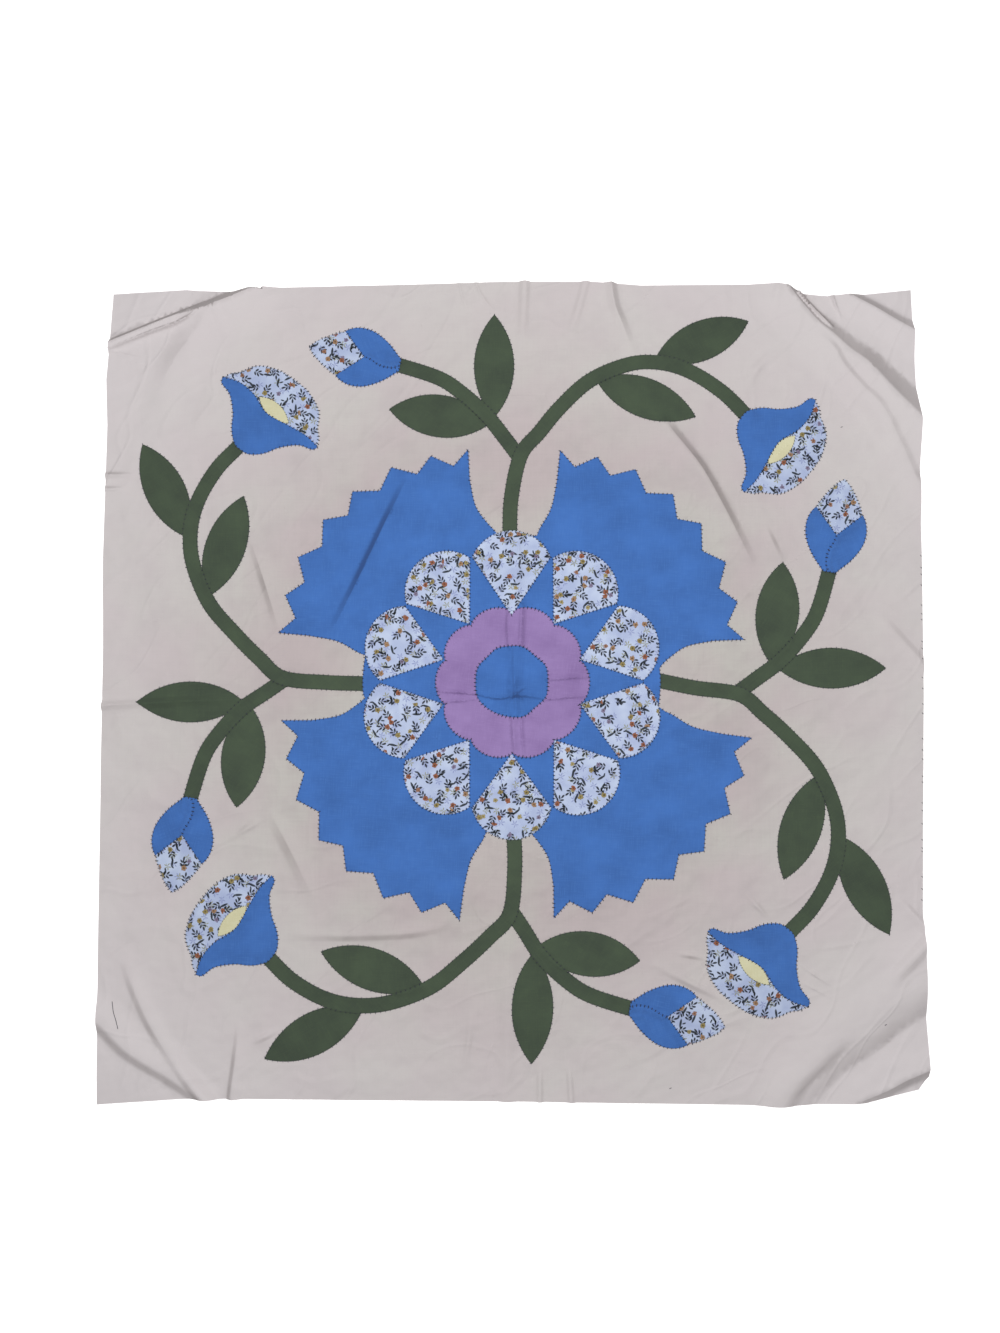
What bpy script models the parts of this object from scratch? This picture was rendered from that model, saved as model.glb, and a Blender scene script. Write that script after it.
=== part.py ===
"""An appliqued quilt top: a square of pale muslin, laid out, with a flower medallion and four vines sewn on.

The tables are in millimetres on the plan, with the medallion's middle at (0, 0), +X to the right edge and
+Y to the top edge. Each vine is drawn once, as it lies above the medallion, and turned to its own side.
The solids are in metres, with +Z up and the underside of the flat cloth at zero.
"""

import math
from collections import namedtuple

import bmesh
import bpy
import numpy as np
from mathutils import Vector

MM = 0.001

# Cloth thicknesses and the gap that parts the layers
GROUND_THICKNESS = 1.5
PATCH_THICKNESS = 1.0
GAP = 0.3
EDGE_GAP = 0.35

# The muslin's outline, corner to corner, each row a point of the edge
TOP_EDGE = ((-428, 417), (-350, 422), (-298, 418), (-274, 424), (-104, 428), (-7, 431), (90, 431),
            (139, 427), (284, 428), (299, 425), (312, 418), (340, 415), (381, 417), (430, 422))
RIGHT_EDGE = ((430, 422), (440, 275), (436, 131), (435, -12), (431, -154), (429, -248), (431, -389),
              (431, -408), (421, -422))
BOTTOM_EDGE = ((421, -422), (366, -435), (273, -438), (-7, -434), (-333, -431), (-429, -437))
LEFT_EDGE = ((-429, -437), (-431, -295), (-432, 36), (-434, 131), (-432, 275), (-434, 324), (-428, 417))
SHEET_CELLS = 18

# Folds: the crest's two ends, its height at the start, middle and end, and how far its foot lies to the left
# and to the right of the way from start to end
Fold = namedtuple("Fold", "x1 y1 x2 y2 start middle end left right")
FOLDS = (
    Fold(-442, 362, -274, 424, 3.5, 4.0, 3.0, 9, 14),
    Fold(-300, 430, -392, 272, 4.0, 3.5, 0.0, 44, 26),
    Fold(287, 440, 444, 276, 4.0, 6.5, 9.0, 18, 42),
    Fold(306, 424, 354, 381, 4.0, 3.5, 0.0, 7, 9),
    Fold(350, 426, 444, 371, 4.0, 4.5, 4.0, 14, 20),
    Fold(330, 370, 446, 196, 0.0, 3.5, 4.0, 12, 24),
    Fold(445, -347, 300, -450, 4.0, 4.5, 3.0, 34, 12),
    Fold(440, -398, 372, -436, 4.5, 4.5, 3.0, 9, 20),
    Fold(345, -378, 278, -446, 0.0, 2.5, 3.0, 18, 10),
    Fold(-442, -367, -300, -438, 3.0, 3.5, 2.5, 24, 14),
    Fold(-280, -350, -289, -440, 0.0, 2.0, 2.0, 12, 9),
    Fold(15, 438, 12, 350, 3.0, 2.5, 0.0, 10, 12),
    Fold(104, 438, 132, 348, 3.5, 3.2, 0.0, 8, 13),
    Fold(-442, -25, -240, -19, 3.5, 3.0, 0.0, 8, 8),
    Fold(6, 176, 4, -96, 0.0, 1.6, 0.0, 11, 11),
    Fold(-3, -240, -5, -440, 0.0, 1.8, 1.5, 12, 12),
    Fold(-105, 226, -192, 46, 0.0, 2.6, 0.0, 14, 9),
    Fold(-280, 160, -243, 46, 0.0, 2.2, 0.0, 9, 12),
    Fold(163, 284, 264, 110, 0.0, 2.8, 0.0, 10, 18),
    Fold(-258, -128, -200, -238, 0.0, 2.4, 0.0, 10, 16),
    Fold(448, -258, 388, -312, 2.5, 2.0, 0.0, 14, 10),
)
CREASE_LINES = (-1.0, -0.5, 0.0, 0.5, 1.0)
CREASE_SNAP = 0.8

# The four sides: quarter turns clockwise from the top, then how each vine strays from the pattern, how far
# its stalk leans at the fork and its long stem bows outwards, and how its blue arm strays
Side = namedtuple("Side", "name quarters turn scale shift_x shift_y lean bow blue_turn blue_x blue_y")
SIDES = (
    Side("top", 0, -0.75, 0.990, -5.0, 3.2, 7.0, 4.0, 0.7, 0.7, -2.3),
    Side("right", 1, 0.37, 1.008, 6.7, -3.1, 3.0, 0.0, -1.1, -0.1, 4.8),
    Side("bottom", 2, -0.30, 1.003, -3.9, -0.6, -1.0, -5.0, -1.0, -4.2, 1.2),
    Side("left", 3, 0.56, 0.996, 1.2, 1.2, 0.0, -1.5, 1.4, 3.5, -3.7),
)
LEAN_SPAN = (160.0, 330.0)
LEAN_WIDTH = (-60.0, 90.0)
BOW_SPAN = (0.0, 260.0)

# Medallion
PETALS = 10
PETAL_TIP = 76.0
PETAL_SHOULDER = 138.6
PETAL_SHOULDER_ANGLE = 17.3
PETAL_CAP_RISES = (28.0, 28.5, 28.0, 28.5, 29.0, 33.0, 30.0, 29.5, 29.0, 28.5)
RING_NOTCH = 74.5
RING_LOBE = 82.0
RING_HOLE = 38.0
RING_HOLE_WAVE = 0.9
RING_ROUNDNESS = 0.6
RING_STEPS = 6

# Blue base: a disc under the petals and four saw-edged arms
DISC_RADIUS = 157.0
DISC_STEPS = 4
TOOTH_DEPTH = 16.0
Tooth = namedtuple("Tooth", "radius angle")
TEETH = (Tooth(255, 77.7), Tooth(259, 68.7), Tooth(264, 59.4), Tooth(265, 49.0),
         Tooth(264, 39.6), Tooth(261, 29.0), Tooth(254, 19.3), Tooth(250, 10.1))
ARM_FIRST_SIDE = ((28.3, 157.5), (32.0, 166.0), (43.9, 187.0), (50.6, 217.0))
ARM_LAST_SIDE = ((213.0, 43.0), (185.0, 37.5), (167.0, 26.0), (158.5, 18.5))

# Vine: stem centre lines, from the medallion or the fork out to the flower or the bud
STEM_WIDTH = 15.6
STEM_ROOT = (-2.0, 152.0)
LONG_STEM = ((0.0, 195.0), (5.4, 241.5), (26.0, 266.0), (53.0, 293.0), (86.0, 321.0), (128.0, 338.5),
             (163.0, 341.0), (196.0, 332.5), (229.0, 313.0), (252.0, 291.0), (262.0, 281.0))
SHORT_STEM = ((6.0, 236.0), (-9.8, 259.0), (-26.8, 284.0), (-52.0, 308.0), (-77.5, 324.5),
              (-119.9, 338.0), (-134.0, 341.0))
STEM_STEPS = 3

Leaf = namedtuple("Leaf", "name base_x base_y tip_x tip_y width")
LEAVES = (
    Leaf("upright", -20.0, 281.5, -18.5, 395.5, 43),
    Leaf("low", -23.0, 276.0, -130.9, 289.7, 46),
    Leaf("outer", 155.5, 343.5, 257.4, 391.7, 43),
    Leaf("inner", 92.0, 322.5, 200.5, 283.9, 43),
)
LEAF_STEPS = 8

# Bell flower: across and ahead of the line between the cup's two points, whose middle is BELL_MIDDLE
BELL_MIDDLE = (291.4, 255.0)
BELL_HEADING = -37.0
CUP_SIDE = ((0, 64), (-6, 61), (-10, 48), (-17, 39), (-27, 30), (-37, 24), (-45, 17), (-50, 8))
CUP_MOUTH = ((64, 0), (46, 6), (26, 5), (5, -3), (-10, -3), (-27, 0), (-46, 2), (-64, 0))
LENS_ENDS = ((22, 4.6), (-28, 0.2))
LENS_RISE = 8.5
BACK_PETAL_SIDE = ((0, 62.5), (8, 59), (15, 52), (23, 47.5), (31, 41.5), (37, 32), (42, 17), (43, 0))
BACK_PETAL_UNDER = ((-8, 30), (-8, -30))

# Bud: along its axis from the stem's end, and half its width there
BUD_BASE = (-119.9, 338.0)
BUD_HEADING = 169.2
BUD_SIDE = ((0, 6.5), (5, 11), (15, 20), (27, 27.5), (38, 31.5), (50, 32.0), (60, 29), (66, 25))
BUD_NOTCH = (40.0, 1.0)
BUD_TIP_SIDE = ((58, 26.5), (71, 22.5), (85, 14.3), (94, 7.5))
BUD_TIP_LENGTH = 100.5
BUD_TIP_ROOT = (30.0, 0.0)

# Cutters: their height, the sharpest corner that a clearance keeps, the margin of cloth kept about an outline,
# and how near two points of a cutter merge, in metres
CUTTER_HEIGHT = 60.0
LEAST_MITRE = 0.3
CLOTH_MARGIN = 1.0
MERGE_DISTANCE = 1e-6

# Finishes: colour, roughness
Finish = namedtuple("Finish", "colour roughness")
FINISHES = {
    "muslin": Finish("#CDC1B8", 0.92),
    "blue_cotton": Finish("#4472B8", 0.88),
    "green_cotton": Finish("#48563F", 0.90),
    "lavender_cotton": Finish("#A184BD", 0.88),
    "print_cotton": Finish("#CDD5E6", 0.88),
    "yellow_cotton": Finish("#E0DBA0", 0.90),
}


# Plan geometry

def polar(radius, degrees):
    return (radius * math.cos(math.radians(degrees)), radius * math.sin(math.radians(degrees)))


def turned(point, degrees):
    c, s = math.cos(math.radians(degrees)), math.sin(math.radians(degrees))
    return (point[0] * c - point[1] * s, point[0] * s + point[1] * c)


def swell(value, span):
    """A smooth rise from 0 at the span's ends to 1 at its middle."""
    share = (value - span[0]) / (span[1] - span[0])
    return math.sin(math.pi * min(max(share, 0.0), 1.0)) ** 2


def vine_point(side, point):
    """A point of the pattern vine, moved as this side's vine strays and turned to its side."""
    x, y = turned(point, side.turn)
    lean = side.lean * swell(math.hypot(*point), LEAN_SPAN) * swell(point[0], LEAN_WIDTH)
    x = x * side.scale + side.shift_x + lean
    y = y * side.scale + side.shift_y + side.bow * swell(point[0], BOW_SPAN)
    return turned((x, y), -90 * side.quarters)


def arm_point(side, point):
    """The same for a point of a blue arm."""
    x, y = turned(point, side.blue_turn)
    return turned((x + side.blue_x, y + side.blue_y), -90 * side.quarters)


def framed(origin, heading, ahead, across):
    """A point given ahead of an origin, along a heading, and across it to the left."""
    x, y = turned((ahead, across), heading)
    return (origin[0] + x, origin[1] + y)


def arc(first, last, rise, steps):
    """Points from first up to, not at, last, along a circular arc that rises to the left of the way."""
    chord = math.dist(first, last)
    radius = (chord**2 / 4 + rise**2) / (2 * rise)
    half = math.asin(min(1.0, chord / 2 / radius))
    heading = math.degrees(math.atan2(last[1] - first[1], last[0] - first[0]))
    points = []
    for i in range(steps):
        angle = -half + 2 * half * i / steps
        ahead = chord / 2 + radius * math.sin(angle)
        across = radius * math.cos(angle) - (radius - rise)
        points.append(framed(first, heading, ahead, across))
    return points


def smooth_line(points, steps):
    """A smooth curve through the points, with this many steps between neighbours."""
    path = np.array([points[0], *points, points[-1]], float)
    path[0] = 2 * path[1] - path[2]
    path[-1] = 2 * path[-2] - path[-3]
    line = []
    for a, b, c, d in zip(path, path[1:], path[2:], path[3:]):
        for t in np.arange(steps) / steps:
            line.append((2 * b + (c - a) * t + (2 * a - 5 * b + 4 * c - d) * t**2
                         + (3 * b - a - 3 * c + d) * t**3) / 2)
    line.append(path[-2])
    return np.array(line)


def ribbon(line, width):
    """The outline of a strip of even width about a centre line."""
    ahead = np.gradient(line, axis=0)
    ahead /= np.linalg.norm(ahead, axis=1)[:, None]
    left = np.column_stack((-ahead[:, 1], ahead[:, 0])) * width / 2
    return [tuple(p) for p in np.concatenate((line + left, (line - left)[::-1]))]


def signed_area(outline):
    points = np.array(outline)
    after = np.roll(points, -1, axis=0)
    return float((points[:, 0] * after[:, 1] - points[:, 1] * after[:, 0]).sum() / 2)


def grown(outline, distance):
    """The outline moved outwards, as the clearance around a piece that laps over another."""
    points = np.array(outline, float)
    if signed_area(outline) < 0:
        points = points[::-1]
    before, after = points - np.roll(points, 1, axis=0), np.roll(points, -1, axis=0) - points
    before /= np.linalg.norm(before, axis=1)[:, None]
    after /= np.linalg.norm(after, axis=1)[:, None]
    outward = np.column_stack((before[:, 1] + after[:, 1], -before[:, 0] - after[:, 0]))
    outward /= np.maximum((outward**2).sum(axis=1) / 2, LEAST_MITRE)[:, None]
    return [tuple(p) for p in points + outward * distance]


# Outlines of the pieces

def petal_outline(index):
    middle = 90 + index * 360 / PETALS
    first = polar(PETAL_SHOULDER, middle + PETAL_SHOULDER_ANGLE)
    last = polar(PETAL_SHOULDER, middle - PETAL_SHOULDER_ANGLE)
    return [polar(PETAL_TIP, middle), *arc(first, last, PETAL_CAP_RISES[index], LEAF_STEPS), last]


def ring_outlines():
    """The scalloped outer edge and the softly waved hole."""
    outer, hole = [], []
    for i in range(PETALS * RING_STEPS):
        angle = 90 + 360 * i / (PETALS * RING_STEPS)
        lobe = abs(math.sin(math.radians((angle - 90) * PETALS / 2))) ** RING_ROUNDNESS
        wave = math.cos(math.radians((angle - 90) * PETALS))
        outer.append(polar(RING_NOTCH + (RING_LOBE - RING_NOTCH) * lobe, angle))
        hole.append(polar(RING_HOLE + RING_HOLE_WAVE * wave, angle))
    return [outer, hole]


def arm_outline(side):
    """One blue arm, clockwise: up its first side, along its teeth and down its last side."""
    points = list(ARM_FIRST_SIDE)
    for tooth, after in zip(TEETH, TEETH[1:]):
        valley = (tooth.radius + after.radius) / 2 - TOOTH_DEPTH
        points += [polar(tooth.radius, tooth.angle), polar(valley, (tooth.angle + after.angle) / 2)]
    points.append(polar(TEETH[-1].radius, TEETH[-1].angle))
    points += ARM_LAST_SIDE
    return [arm_point(side, point) for point in points]


def base_outline():
    """The four arms, joined by the stretches of disc between them."""
    outline = []
    arms = [arm_outline(side) for side in SIDES]
    for arm, after in zip(arms, arms[1:] + arms[:1]):
        outline += arm
        first = math.degrees(math.atan2(arm[-1][1], arm[-1][0]))
        last = math.degrees(math.atan2(after[0][1], after[0][0]))
        sweep = (first - last) % 360
        outline += [polar(DISC_RADIUS, first - sweep * (i + 1) / (DISC_STEPS + 1)) for i in range(DISC_STEPS)]
    return outline


def long_stem_outline(side):
    root = turned(STEM_ROOT, -90 * side.quarters)
    return ribbon(smooth_line([root] + [vine_point(side, p) for p in LONG_STEM], STEM_STEPS), STEM_WIDTH)


def short_stem_outline(side):
    return ribbon(smooth_line([vine_point(side, p) for p in SHORT_STEM], STEM_STEPS), STEM_WIDTH)


def leaf_outline(side, leaf):
    base = vine_point(side, (leaf.base_x, leaf.base_y))
    tip = vine_point(side, (leaf.tip_x, leaf.tip_y))
    return arc(base, tip, leaf.width / 2, LEAF_STEPS) + arc(tip, base, leaf.width / 2, LEAF_STEPS)


def bell_points(side, rows):
    """Points ahead of and across the line between a bell's two points."""
    return [vine_point(side, framed(BELL_MIDDLE, BELL_HEADING, ahead, across)) for ahead, across in rows]


def bell_cup_outline(side):
    left = list(CUP_SIDE)
    right = [(ahead, -across) for ahead, across in reversed(CUP_SIDE)]
    mouth = [(ahead, across) for across, ahead in reversed(CUP_MOUTH[1:-1])]
    return bell_points(side, left + right + mouth)


def bell_lens_outline(side):
    first, last = bell_points(side, [(ahead, across) for across, ahead in LENS_ENDS])
    return arc(first, last, LENS_RISE, LEAF_STEPS // 2) + arc(last, first, LENS_RISE, LEAF_STEPS // 2)


def bell_back_outline(side):
    right = [(ahead, -across) for ahead, across in BACK_PETAL_SIDE]
    left = [(ahead, across) for ahead, across in reversed(BACK_PETAL_SIDE[:-1])]
    return bell_points(side, right + left + list(BACK_PETAL_UNDER))


def bud_points(side, rows):
    return [vine_point(side, framed(BUD_BASE, BUD_HEADING, ahead, across)) for ahead, across in rows]


def bud_cup_outline(side):
    right = [(ahead, -across) for ahead, across in BUD_SIDE]
    left = list(reversed(BUD_SIDE))
    return bud_points(side, right + [BUD_NOTCH] + left)


def bud_tip_outline(side):
    right = [(ahead, -across) for ahead, across in BUD_TIP_SIDE]
    left = list(reversed(BUD_TIP_SIDE))
    return bud_points(side, [BUD_TIP_ROOT, *right, (BUD_TIP_LENGTH, 0), *left])


# The laid cloth

def fold_height(fold, x, y):
    """How high a fold lifts the cloth over a point: a ridge that swells and fades along its crest."""
    dx, dy = fold.x2 - fold.x1, fold.y2 - fold.y1
    length = math.hypot(dx, dy)
    along = ((x - fold.x1) * dx + (y - fold.y1) * dy) / length**2
    across = ((y - fold.y1) * dx - (x - fold.x1) * dy) / length
    share = across / fold.left if across > 0 else -across / fold.right
    if not 0 <= along <= 1 or share >= 1:
        return 0.0
    crest = float(np.interp(along, (0, 0.5, 1), (fold.start, fold.middle, fold.end)))
    return crest * (1 + math.cos(math.pi * share)) / 2


def edge_at(edge, share):
    """The point at this share of an edge's length."""
    points = np.array(edge, float)
    run = np.concatenate(([0.0], np.cumsum(np.linalg.norm(np.diff(points, axis=0), axis=1))))
    return np.array([np.interp(share * run[-1], run, points[:, axis]) for axis in (0, 1)])


def sheet_point(u, v):
    """Where a point of the unit square lies on the cloth: its four edges blended across the middle."""
    bottom, top = edge_at(BOTTOM_EDGE[::-1], u), edge_at(TOP_EDGE, u)
    left, right = edge_at(LEFT_EDGE, v), edge_at(RIGHT_EDGE[::-1], v)
    corners = ((1 - u) * (1 - v) * np.array(LEFT_EDGE[0]) + u * (1 - v) * np.array(BOTTOM_EDGE[0])
               + (1 - u) * v * np.array(TOP_EDGE[0]) + u * v * np.array(RIGHT_EDGE[0]))
    return (1 - v) * bottom + v * top + (1 - u) * left + u * right - corners


def split_along(bm, fold):
    """Splits the faces near a fold along its crest, its shoulders and its feet."""
    start, end = Vector((fold.x1, fold.y1, 0)), Vector((fold.x2, fold.y2, 0))
    along = (end - start).normalized()
    across = Vector((-along.y, along.x, 0))
    for share in CREASE_LINES:
        near = []
        for face in bm.faces:
            rows = [vert.co - start for vert in face.verts]
            ways = [row.dot(along) for row in rows]
            sides = [row.dot(across) for row in rows]
            beside = max(sides) > -fold.right and min(sides) < fold.left
            if beside and max(ways) > 0 and min(ways) < (end - start).length:
                near.append(face)
        geometry = set(near)
        for face in near:
            geometry.update(face.edges)
            geometry.update(face.verts)
        offset = share * (fold.left if share > 0 else fold.right)
        bmesh.ops.bisect_plane(bm, geom=list(geometry), dist=CREASE_SNAP, plane_no=across,
                               plane_co=start + across * offset)


def laid_sheet():
    """The cloth's underside in millimetres: a grid fitted to the outline, split and lifted along the folds."""
    bm = bmesh.new()
    bmesh.ops.create_grid(bm, x_segments=SHEET_CELLS, y_segments=SHEET_CELLS, size=0.5)
    for vert in bm.verts:
        vert.co.x, vert.co.y = sheet_point(vert.co.x + 0.5, vert.co.y + 0.5)
    for fold in FOLDS:
        split_along(bm, fold)
    for vert in bm.verts:
        vert.co.z = sum(fold_height(fold, vert.co.x, vert.co.y) for fold in FOLDS)
    bmesh.ops.triangulate(bm, faces=bm.faces[:], quad_method="BEAUTY", ngon_method="BEAUTY")
    return bm


def middle_of(bm):
    """The middle of the laid cloth's extents, which becomes the part's origin."""
    points = np.array([vert.co[:2] for vert in bm.verts])
    x, y = (points.min(axis=0) + points.max(axis=0)) / 2
    return Vector((float(x), float(y), 0))


# Solids

def linear(value):
    return value / 12.92 if value <= 0.04045 else ((value + 0.055) / 1.055) ** 2.4


def make_material(name):
    finish = FINISHES[name]
    material = bpy.data.materials.new(name)
    material.use_nodes = True
    shader = material.node_tree.nodes["Principled BSDF"]
    channels = [linear(int(finish.colour[i:i + 2], 16) / 255) for i in (1, 3, 5)]
    shader.inputs["Base Color"].default_value = (*channels, 1.0)
    shader.inputs["Roughness"].default_value = finish.roughness
    shader.inputs["Metallic"].default_value = 0.0
    material.diffuse_color = (*channels, 1.0)
    return material


def make_collection(name):
    collection = bpy.data.collections.new(name)
    bpy.context.scene.collection.children.link(collection)
    return collection


class Workshop:
    """Cuts each piece from the laid sheet, one layer up for each cloth beneath it, and puts it in its place."""

    def __init__(self):
        self.pieces = make_collection("applique_quilt")
        self.cutters = make_collection("cutters")
        self.root = bpy.data.objects.new("quilt_top", None)
        self.pieces.objects.link(self.root)
        self.materials = {name: make_material(name) for name in FINISHES}
        self.sheet = laid_sheet()
        self.origin = middle_of(self.sheet)

    def place(self, bm):
        """Moves a mesh from plan millimetres into the part's frame, in metres."""
        bmesh.ops.translate(bm, verts=bm.verts[:], vec=-self.origin)
        bmesh.ops.scale(bm, verts=bm.verts[:], vec=Vector((MM, MM, MM)))

    def thick_sheet(self, name, finish, lift, thickness, within=None):
        """A solid sheet on the folds, or the stretch of it about an outline."""
        bm = self.sheet.copy()
        if within is not None:
            low = np.min(within, axis=0)
            high = np.max(within, axis=0)
            apart = []
            for face in bm.faces:
                corners = np.array([vert.co[:2] for vert in face.verts])
                beyond = (corners.max(axis=0) < low - CLOTH_MARGIN) | (corners.min(axis=0) > high + CLOTH_MARGIN)
                if beyond.any():
                    apart.append(face)
            bmesh.ops.delete(bm, geom=apart, context="FACES")
        bmesh.ops.translate(bm, verts=bm.verts[:], vec=Vector((0, 0, lift)))
        raised = bmesh.ops.extrude_face_region(bm, geom=bm.faces[:], use_keep_orig=True)["geom"]
        bmesh.ops.translate(bm, verts=[v for v in raised if isinstance(v, bmesh.types.BMVert)],
                            vec=Vector((0, 0, thickness)))
        bmesh.ops.recalc_face_normals(bm, faces=bm.faces[:])
        self.place(bm)
        mesh = bpy.data.meshes.new(name)
        bm.to_mesh(mesh)
        bm.free()
        mesh.materials.append(self.materials[finish])
        obj = bpy.data.objects.new(name, mesh)
        obj.parent = self.root
        self.pieces.objects.link(obj)
        return obj

    def prism(self, name, outlines):
        """A tall cutter of one outline, or of an outline and the holes in it."""
        curve = bpy.data.curves.new(name, "CURVE")
        curve.dimensions = "2D"
        curve.fill_mode = "BOTH"
        curve.extrude = CUTTER_HEIGHT / 2 * MM
        for outline in outlines:
            spline = curve.splines.new("POLY")
            spline.points.add(len(outline) - 1)
            for point, (x, y) in zip(spline.points, outline):
                point.co = ((x - self.origin.x) * MM, (y - self.origin.y) * MM, 0, 1)
            spline.use_cyclic_u = True
        guide = bpy.data.objects.new(name, curve)
        self.cutters.objects.link(guide)
        graph = bpy.context.evaluated_depsgraph_get()
        mesh = bpy.data.meshes.new_from_object(guide.evaluated_get(graph))
        bpy.data.objects.remove(guide)
        bm = bmesh.new()
        bm.from_mesh(mesh)
        bmesh.ops.remove_doubles(bm, verts=bm.verts[:], dist=MERGE_DISTANCE)
        bmesh.ops.recalc_face_normals(bm, faces=bm.faces[:])
        bm.to_mesh(mesh)
        bm.free()
        cutter = bpy.data.objects.new(name, mesh)
        self.cutters.objects.link(cutter)
        cutter.hide_render = True
        cutter.display_type = "WIRE"
        return cutter

    def sewn_on(self, name, finish, outlines, layer=1, under=()):
        """A piece of applique: cut to its outline, and back from the edges of the pieces that lap over it."""
        lift = GROUND_THICKNESS + GAP + (layer - 1) * (PATCH_THICKNESS + GAP)
        piece = self.thick_sheet(name, finish, lift, PATCH_THICKNESS, within=outlines[0])
        cuts = [("INTERSECT", self.prism(name + "_outline", outlines))]
        for i, outline in enumerate(under):
            cuts.append(("DIFFERENCE", self.prism(f"{name}_clear_{i + 1}", [grown(outline, EDGE_GAP)])))
        for operation, cutter in cuts:
            modifier = piece.modifiers.new(cutter.name, "BOOLEAN")
            modifier.operation = operation
            modifier.solver = "EXACT"
            modifier.object = cutter
        return piece


def sew_medallion(shop):
    shop.sewn_on("blue_base", "blue_cotton", [base_outline()])
    for i in range(PETALS):
        shop.sewn_on(f"petal_{i + 1:02d}", "print_cotton", [petal_outline(i)], layer=2)
    shop.sewn_on("ring", "lavender_cotton", ring_outlines(), layer=2)


def sew_vine(shop, side):
    """One vine: its flower and bud lap over the stems, and the stems over the leaves."""
    cup, bud = bell_cup_outline(side), bud_cup_outline(side)
    lens = bell_lens_outline(side)
    long_stem, short_stem = long_stem_outline(side), short_stem_outline(side)
    shop.sewn_on(f"bell_cup_{side.name}", "blue_cotton", [cup])
    shop.sewn_on(f"bell_centre_{side.name}", "yellow_cotton", [lens], under=[cup])
    shop.sewn_on(f"bell_back_{side.name}", "print_cotton", [bell_back_outline(side)], under=[cup, lens])
    shop.sewn_on(f"bud_cup_{side.name}", "blue_cotton", [bud])
    shop.sewn_on(f"bud_tip_{side.name}", "print_cotton", [bud_tip_outline(side)], under=[bud])
    shop.sewn_on(f"stem_long_{side.name}", "green_cotton", [long_stem], under=[cup, base_outline()])
    shop.sewn_on(f"stem_short_{side.name}", "green_cotton", [short_stem], under=[bud, long_stem])
    for leaf in LEAVES:
        shop.sewn_on(f"leaf_{leaf.name}_{side.name}", "green_cotton", [leaf_outline(side, leaf)],
                     under=[long_stem, short_stem])


def main():
    for obj in list(bpy.data.objects):
        bpy.data.objects.remove(obj)
    shop = Workshop()
    shop.thick_sheet("ground", "muslin", 0.0, GROUND_THICKNESS)
    sew_medallion(shop)
    for side in SIDES:
        sew_vine(shop, side)
    shop.sheet.free()


main()
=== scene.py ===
"""An appliqued quilt top, laid out: a muslin square with a flower medallion and four vines sewn on by hand.

The tables are in millimetres on the plan, with the medallion's middle at (0, 0), +X to the right edge and
+Y to the top edge. Each vine is drawn once, as it lies above the medallion, and turned to its own side.
Every cloth is lifted by the folds of the muslin under it and by the cloths that it laps over.
"""

import logging
import math
from collections.abc import Iterable, Sequence
from dataclasses import dataclass, field
from enum import Enum
from functools import cached_property

import bmesh
import bpy
import numpy as np
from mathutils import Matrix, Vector
from mathutils.geometry import delaunay_2d_cdt


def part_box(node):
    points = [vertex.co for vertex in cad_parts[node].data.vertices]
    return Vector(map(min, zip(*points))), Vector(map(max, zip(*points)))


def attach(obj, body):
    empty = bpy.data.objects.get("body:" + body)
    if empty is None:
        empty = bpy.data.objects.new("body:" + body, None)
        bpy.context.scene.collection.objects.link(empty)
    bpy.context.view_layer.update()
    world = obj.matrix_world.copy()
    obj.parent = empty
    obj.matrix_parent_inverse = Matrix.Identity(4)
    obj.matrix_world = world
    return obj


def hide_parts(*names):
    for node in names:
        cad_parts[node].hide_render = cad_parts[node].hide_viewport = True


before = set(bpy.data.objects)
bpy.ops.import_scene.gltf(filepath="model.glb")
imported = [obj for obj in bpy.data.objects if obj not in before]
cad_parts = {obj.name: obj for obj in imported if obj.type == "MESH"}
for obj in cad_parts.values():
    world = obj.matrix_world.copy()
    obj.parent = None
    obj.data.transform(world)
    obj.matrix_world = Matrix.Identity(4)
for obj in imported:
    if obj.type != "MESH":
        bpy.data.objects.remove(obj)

LOG = logging.getLogger("quilt_top")
MM = 0.001
SEED = 11
EYE_HEIGHT = 1018.0  # of the camera over the cloth, in millimetres

Point = tuple[float, float]
Rows = Sequence[Point]


# Plan geometry


def polar(radius: float, degrees: float) -> Point:
    """The point at this radius and angle from the medallion's middle."""
    return (radius * math.cos(math.radians(degrees)), radius * math.sin(math.radians(degrees)))


def turned(point: Point, degrees: float) -> Point:
    """The point turned anticlockwise about the medallion's middle."""
    c, s = math.cos(math.radians(degrees)), math.sin(math.radians(degrees))
    return (point[0] * c - point[1] * s, point[0] * s + point[1] * c)


def swell(value: float, span: Point) -> float:
    """A smooth rise from 0 at the span's ends to 1 at its middle."""
    share = (value - span[0]) / (span[1] - span[0])
    return math.sin(math.pi * min(max(share, 0.0), 1.0)) ** 2


def framed(origin: Point, heading: float, ahead: float, across: float) -> Point:
    """A point given ahead of an origin, along a heading, and across it to the left."""
    x, y = turned((ahead, across), heading)
    return (origin[0] + x, origin[1] + y)


def arc(first: Point, last: Point, rise: float, steps: int) -> list[Point]:
    """Points from first up to, not at, last, along a circular arc.

    Args:
        first: where the arc starts.
        last: where it ends.
        rise: how far it stands to the left of the way, at its middle.
        steps: the number of points.

    Returns:
        The points in order.
    """
    chord = math.dist(first, last)
    radius = (chord**2 / 4 + rise**2) / (2 * rise)
    half = math.asin(min(1.0, chord / 2 / radius))
    heading = math.degrees(math.atan2(last[1] - first[1], last[0] - first[0]))
    points = []
    for i in range(steps):
        angle = -half + 2 * half * i / steps
        ahead = chord / 2 + radius * math.sin(angle)
        across = radius * math.cos(angle) - (radius - rise)
        points.append(framed(first, heading, ahead, across))
    return points


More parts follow.
